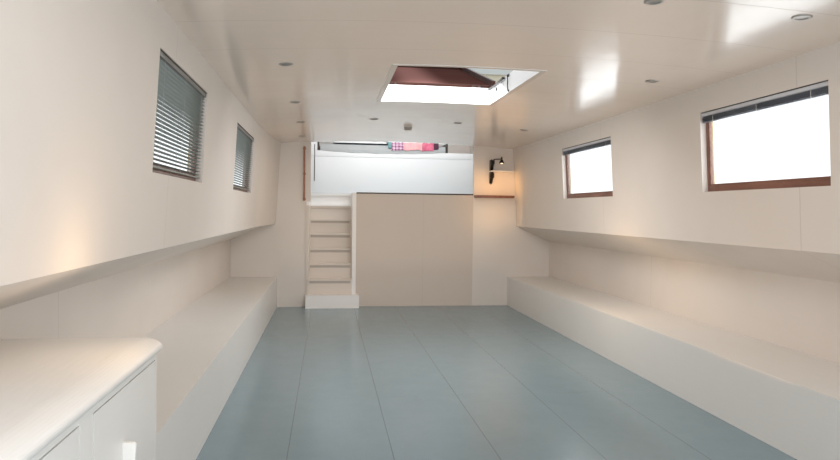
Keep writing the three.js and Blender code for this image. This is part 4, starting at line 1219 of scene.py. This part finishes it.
THROWS = (
    # name, its two sides across the berth, hem, pale tone, deep tone, colour of the check
    ("teal", 0.020, 0.080, 2.720, (0.20, 0.36, 0.37), (0.10, 0.21, 0.24), None),
    ("checked", 0.084, 0.286, 2.692, (0.78, 0.66, 0.70), (0.52, 0.22, 0.42), (0.20, 0.03, 0.13)),
    ("rose", 0.290, 0.600, 2.700, (0.86, 0.47, 0.48), (0.80, 0.33, 0.36), None),
    ("crimson", 0.604, 0.800, 2.690, (0.74, 0.20, 0.30), (0.50, 0.07, 0.15), None),
    ("plum", 0.804, 0.886, 2.725, (0.10, 0.03, 0.06), (0.04, 0.015, 0.03), None),
)
THROW_LAYERS, THROW_GAP, THROW_THICK = 4, 0.0066, 0.0045

for number, (name, x0, x1, hem, *tones) in enumerate(THROWS):
    path = layered_path(4.398, MATTRESS_HIGH[2] + 0.0215, 4.85, hem, THROW_LAYERS, THROW_GAP)

    @piece(throw_finish(f"throw_{name}", *tones), 60, name=f"throw_{name}")
    def throw(bm):
        columns = max(8, round((x1 - x0) / 0.016))
        rows = []
        for y, z in path:
            row = []
            for j in range(columns + 1):
                x = x0 + (x1 - x0) * j / columns
                soft = 0.0035 * sin(x * 46 + number) + 0.002 * sin(x * 121 + 2 * number)
                sag = 0.006 * sin(x * 20 + number * 2) * max(0.0, (2.82 - z) / 0.1)
                row.append((x, y + (soft if y < 4.42 else 0.0), z + soft * 0.8 + sag))
            rows.append(row)
        strip_of_cloth(bm, rows, THROW_THICK)

    if number == 0:
        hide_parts("blankets")

towel_cloth = throw_finish("towel_cloth", (0.50, 0.58, 0.72), (0.03, 0.04, 0.09))


@piece(towel_cloth, 60)
def folded_towel(bm):
    rows = []
    gap, layers, low = 0.0075, 4, 2.896
    for k in range(layers):
        start, end, out = (4.452, 4.60, 1) if k % 2 == 0 else (4.60, 4.452, -1)
        z = low + gap * k
        rows += [(start + (end - start) * i / 8, z) for i in range(9)]
        if k < layers - 1:
            rows += fold_over(end, z, gap / 2, out)
    wide = [-0.97 + 0.13 * j / 8 for j in range(9)]
    strip_of_cloth(bm, [[(x, y, z + 0.003 * sin(x * 40)) for x in wide] for y, z in rows], 0.005)


# Raised after cabin
# Steel sides leaning like the saloon's, lined in the same painted ply. Its panes sit in the steel
# under narrow rings, black alloy outside and white painted wood inside.

dress(wall_paint, "raised_side_port", "raised_side_starboard", "raised_front", "end_wall")

RAISED_LOW_Z, RAISED_HIGH_Z = 2.962, 3.483
RAISED_PANES = ((-1, 4.72, 5.56), (1, 3.30, 4.30), (1, 4.62, 5.56))
END_PANES = ((-1.35, -0.15), (0.15, 1.35))
END_LOW_Z, END_HIGH_Z = 2.96, 3.48
END_INSIDE_Y, END_OUTSIDE_Y = 5.84, 5.90


def end_place(x, z, y):
    """Puts (across, height, y) on the upright end wall."""
    return Vector((x, y, z))


def rims(bm, side_depth, end_depth):
    """Narrow rings round all five panes, each ring between two depths in its wall."""
    for side, y0, y1 in RAISED_PANES:
        hole = (y0, y1, RAISED_LOW_Z, RAISED_HIGH_Z)
        mitred_ring(bm, wall_place(side), around(hole, 0.028), around(hole, -0.003), side_depth)
    for x0, x1 in END_PANES:
        hole = (x0, x1, END_LOW_Z, END_HIGH_Z)
        mitred_ring(bm, end_place, around(hole, 0.028), around(hole, -0.003), end_depth)


@piece(black_metal, 30)
def raised_rims(bm):
    rims(bm, (WALL_THICK - 0.001, WALL_THICK + 0.004), (END_OUTSIDE_Y - 0.001, END_OUTSIDE_Y + 0.004))


@piece(joinery_paint, 30)
def raised_trims(bm):
    rims(bm, (-0.004, 0.001), (END_INSIDE_Y - 0.004, END_INSIDE_Y + 0.001))


# Entrance door
# A mahogany leaf in the port side of the raised cabin, with planted mouldings round two panels, a
# brass lever on long plates and a row of brass screws.

dress(mahogany, "entrance_door")
DOOR_PANELS = ((3.80, 4.27, 2.06, 2.66), (3.80, 4.27, 2.96, 3.50))
DOOR_OUT, DOOR_IN = 0.0945, 0.0505


@piece(mahogany, 30)
def door_surround(bm):
    hole = (3.705, 4.365, 1.921, 3.64)
    depth = (WALL_THICK - 0.001, WALL_THICK + 0.006)
    mitred_ring(bm, wall_place(-1), around(hole, 0.05), hole, depth, 0.002)


@piece(mahogany, 30, body="entrance_door")
def door_mouldings(bm):
    for panel in DOOR_PANELS:
        for depth in ((DOOR_OUT, DOOR_OUT + 0.008), (DOOR_IN - 0.008, DOOR_IN)):
            mitred_ring(bm, wall_place(-1), panel, around(panel, -0.032), depth, 0.003)
            slab(bm, wall_place(-1), *around(panel, -0.075), depth[0] + 0.0005, depth[1] - 0.002, 0.003)


@piece(brass, 35, body="entrance_door")
def door_furniture(bm):
    place = wall_place(-1)
    for face, out in ((DOOR_OUT, 1), (DOOR_IN, -1)):
        depth = sorted((face - out * 0.001, face + out * 0.004))
        slab(bm, place, 3.735, 3.775, 2.72, 2.90, *depth, 0.0018)
        hub, tip = place(3.755, 2.84, face), place(3.755, 2.84, face + out)
        neck = [(0.013, 0), (0.012, 0.012), (0.009, 0.018), (0.009, 0.045), (0, 0.046)]
        lathe(bm, neck, hub, tip - hub, 18)
        grip = [place(3.755 + step, 2.84 + lift, face + out * 0.038) for step, lift in
                ((0, 0), (0.03, 0.001), (0.07, 0.0), (0.1, -0.003), (0.115, -0.008))]
        tube(bm, grip, 0.0075, 12)
        screw_heads(bm, place, (3.745, 3.765, 2.735, 2.885), face + out * 0.004, 0.2, 0.003, out)


# Sideboard
# Softwood built against the port side and brushed white, its thick top rounded over at the front.
# Two flush doors hang on pins, each with a tall wooden pull painted with it.

dress(joinery_paint, "sideboard", "sideboard_top", "sideboard_door_aft", "sideboard_door_fore")
DOOR_FACE_X = -1.63

for end, y in (("aft", -4.66), ("fore", -5.30)):

    @piece(joinery_paint, 50, body=f"sideboard_door_{end}", name=f"pull_{end}")
    def pull(bm):
        """Its outline from the side, rounded at the corners and waisted for the grip."""
        low, high = 0.725, 0.902
        middle = (low + high) / 2
        out, corner, waist = 0.042, 0.014, 0.004
        turn = [radians(s) for s in (0, 30, 60, 90)]
        outline = [(-0.001, low)]
        outline += [(out - corner * (1 - sin(a)), low + corner * (1 - cos(a))) for a in turn]
        outline += [(out - waist, middle - 0.03), (out - waist, middle)]
        outline += [(x, low + high - z) for x, z in reversed(outline[:-1])]
        near, far = ([(DOOR_FACE_X + x, at, z) for x, z in outline] for at in (y - 0.0095, y + 0.0095))
        edges = list({edge for face in prism(bm, near, far) for edge in face.edges})
        bmesh.ops.bevel(bm, geom=edges, offset=0.0035, segments=3, profile=0.5, affect="EDGES")


# Fittings on the after bulkhead
# A copper grab rail beside the stairs, a painted shelf over a lower one dressed dark in mahogany as
# painted shade, a black scrolled bracket, and a small black wall lamp with a cone shade and a frosted
# bulb.

dress(joinery_paint, "shelf_upper")
# Painted shade: the lower shelf is dressed in mahogany so that its front edge reads as dark as the shadow on
# it.
dress(mahogany, "shelf_lower")
dress(black_metal, "wall_lamp", "shelf_bracket")

copper = two_tone("copper", None, (0.50, 0.26, 0.18), (0.32, 0.15, 0.10), (12, 4), (0.3, 0.2),
                  Metallic=0.85)
dress(copper, "grab_rail")


def scroll(bm, x, y, z, start, spread, turns, radius=0.0055):
    """An iron bar curled into a flat spiral beside the bracket."""
    path = []
    for t in (i / 25 for i in range(26)):
        a = start + turns * 2 * pi * t
        r = spread * (1 - 0.72 * t)
        path.append((x, y + r * cos(a), z + r * sin(a)))
    tube(bm, path, radius, 8)


@piece(black_metal, 60)
def bracket_scrolls(bm):
    for x in (1.402, 1.436):
        scroll(bm, x, 2.700, 2.392, 0.4, 0.046, 1.15)
        scroll(bm, x, 2.722, 2.196, 1.9, 0.044, 1.1)
        scroll(bm, x, 2.752, 2.318, 3.4, 0.026, 0.9, 0.0045)
    x = 1.419
    tube(bm, [(x, 2.668, 2.245), (x, 2.674, 2.17), (x, 2.72, 2.105), (x, 2.79, 2.078)], 0.008, 8)
    finial = [(0, 0), (0.010, 0.002), (0.014, 0.012), (0.008, 0.022), (0.004, 0.034), (0, 0.036)]
    lathe(bm, finial, (1.56, 2.715, 2.448))


coat = bulb_glass = Finish("bulb_glass", "black_metal", Emission_Strength=2.0)
frost = coat.noise(30)
coat.feed(
    Base_Color=coat.mix((0.9, 0.8, 0.62), (0.95, 0.88, 0.74), frost),
    Emission_Color=coat.mix((1, 0.72, 0.40), (1, 0.82, 0.55), frost),
)


@piece(bulb_glass, 60)
def lamp_bulb(bm):
    profile = [(0, -0.03), (0.012, -0.028), (0.019, -0.018), (0.02, -0.008), (0.013, 0.006), (0.01, 0.014)]
    lathe(bm, profile, (1.56, 2.715, 2.405))
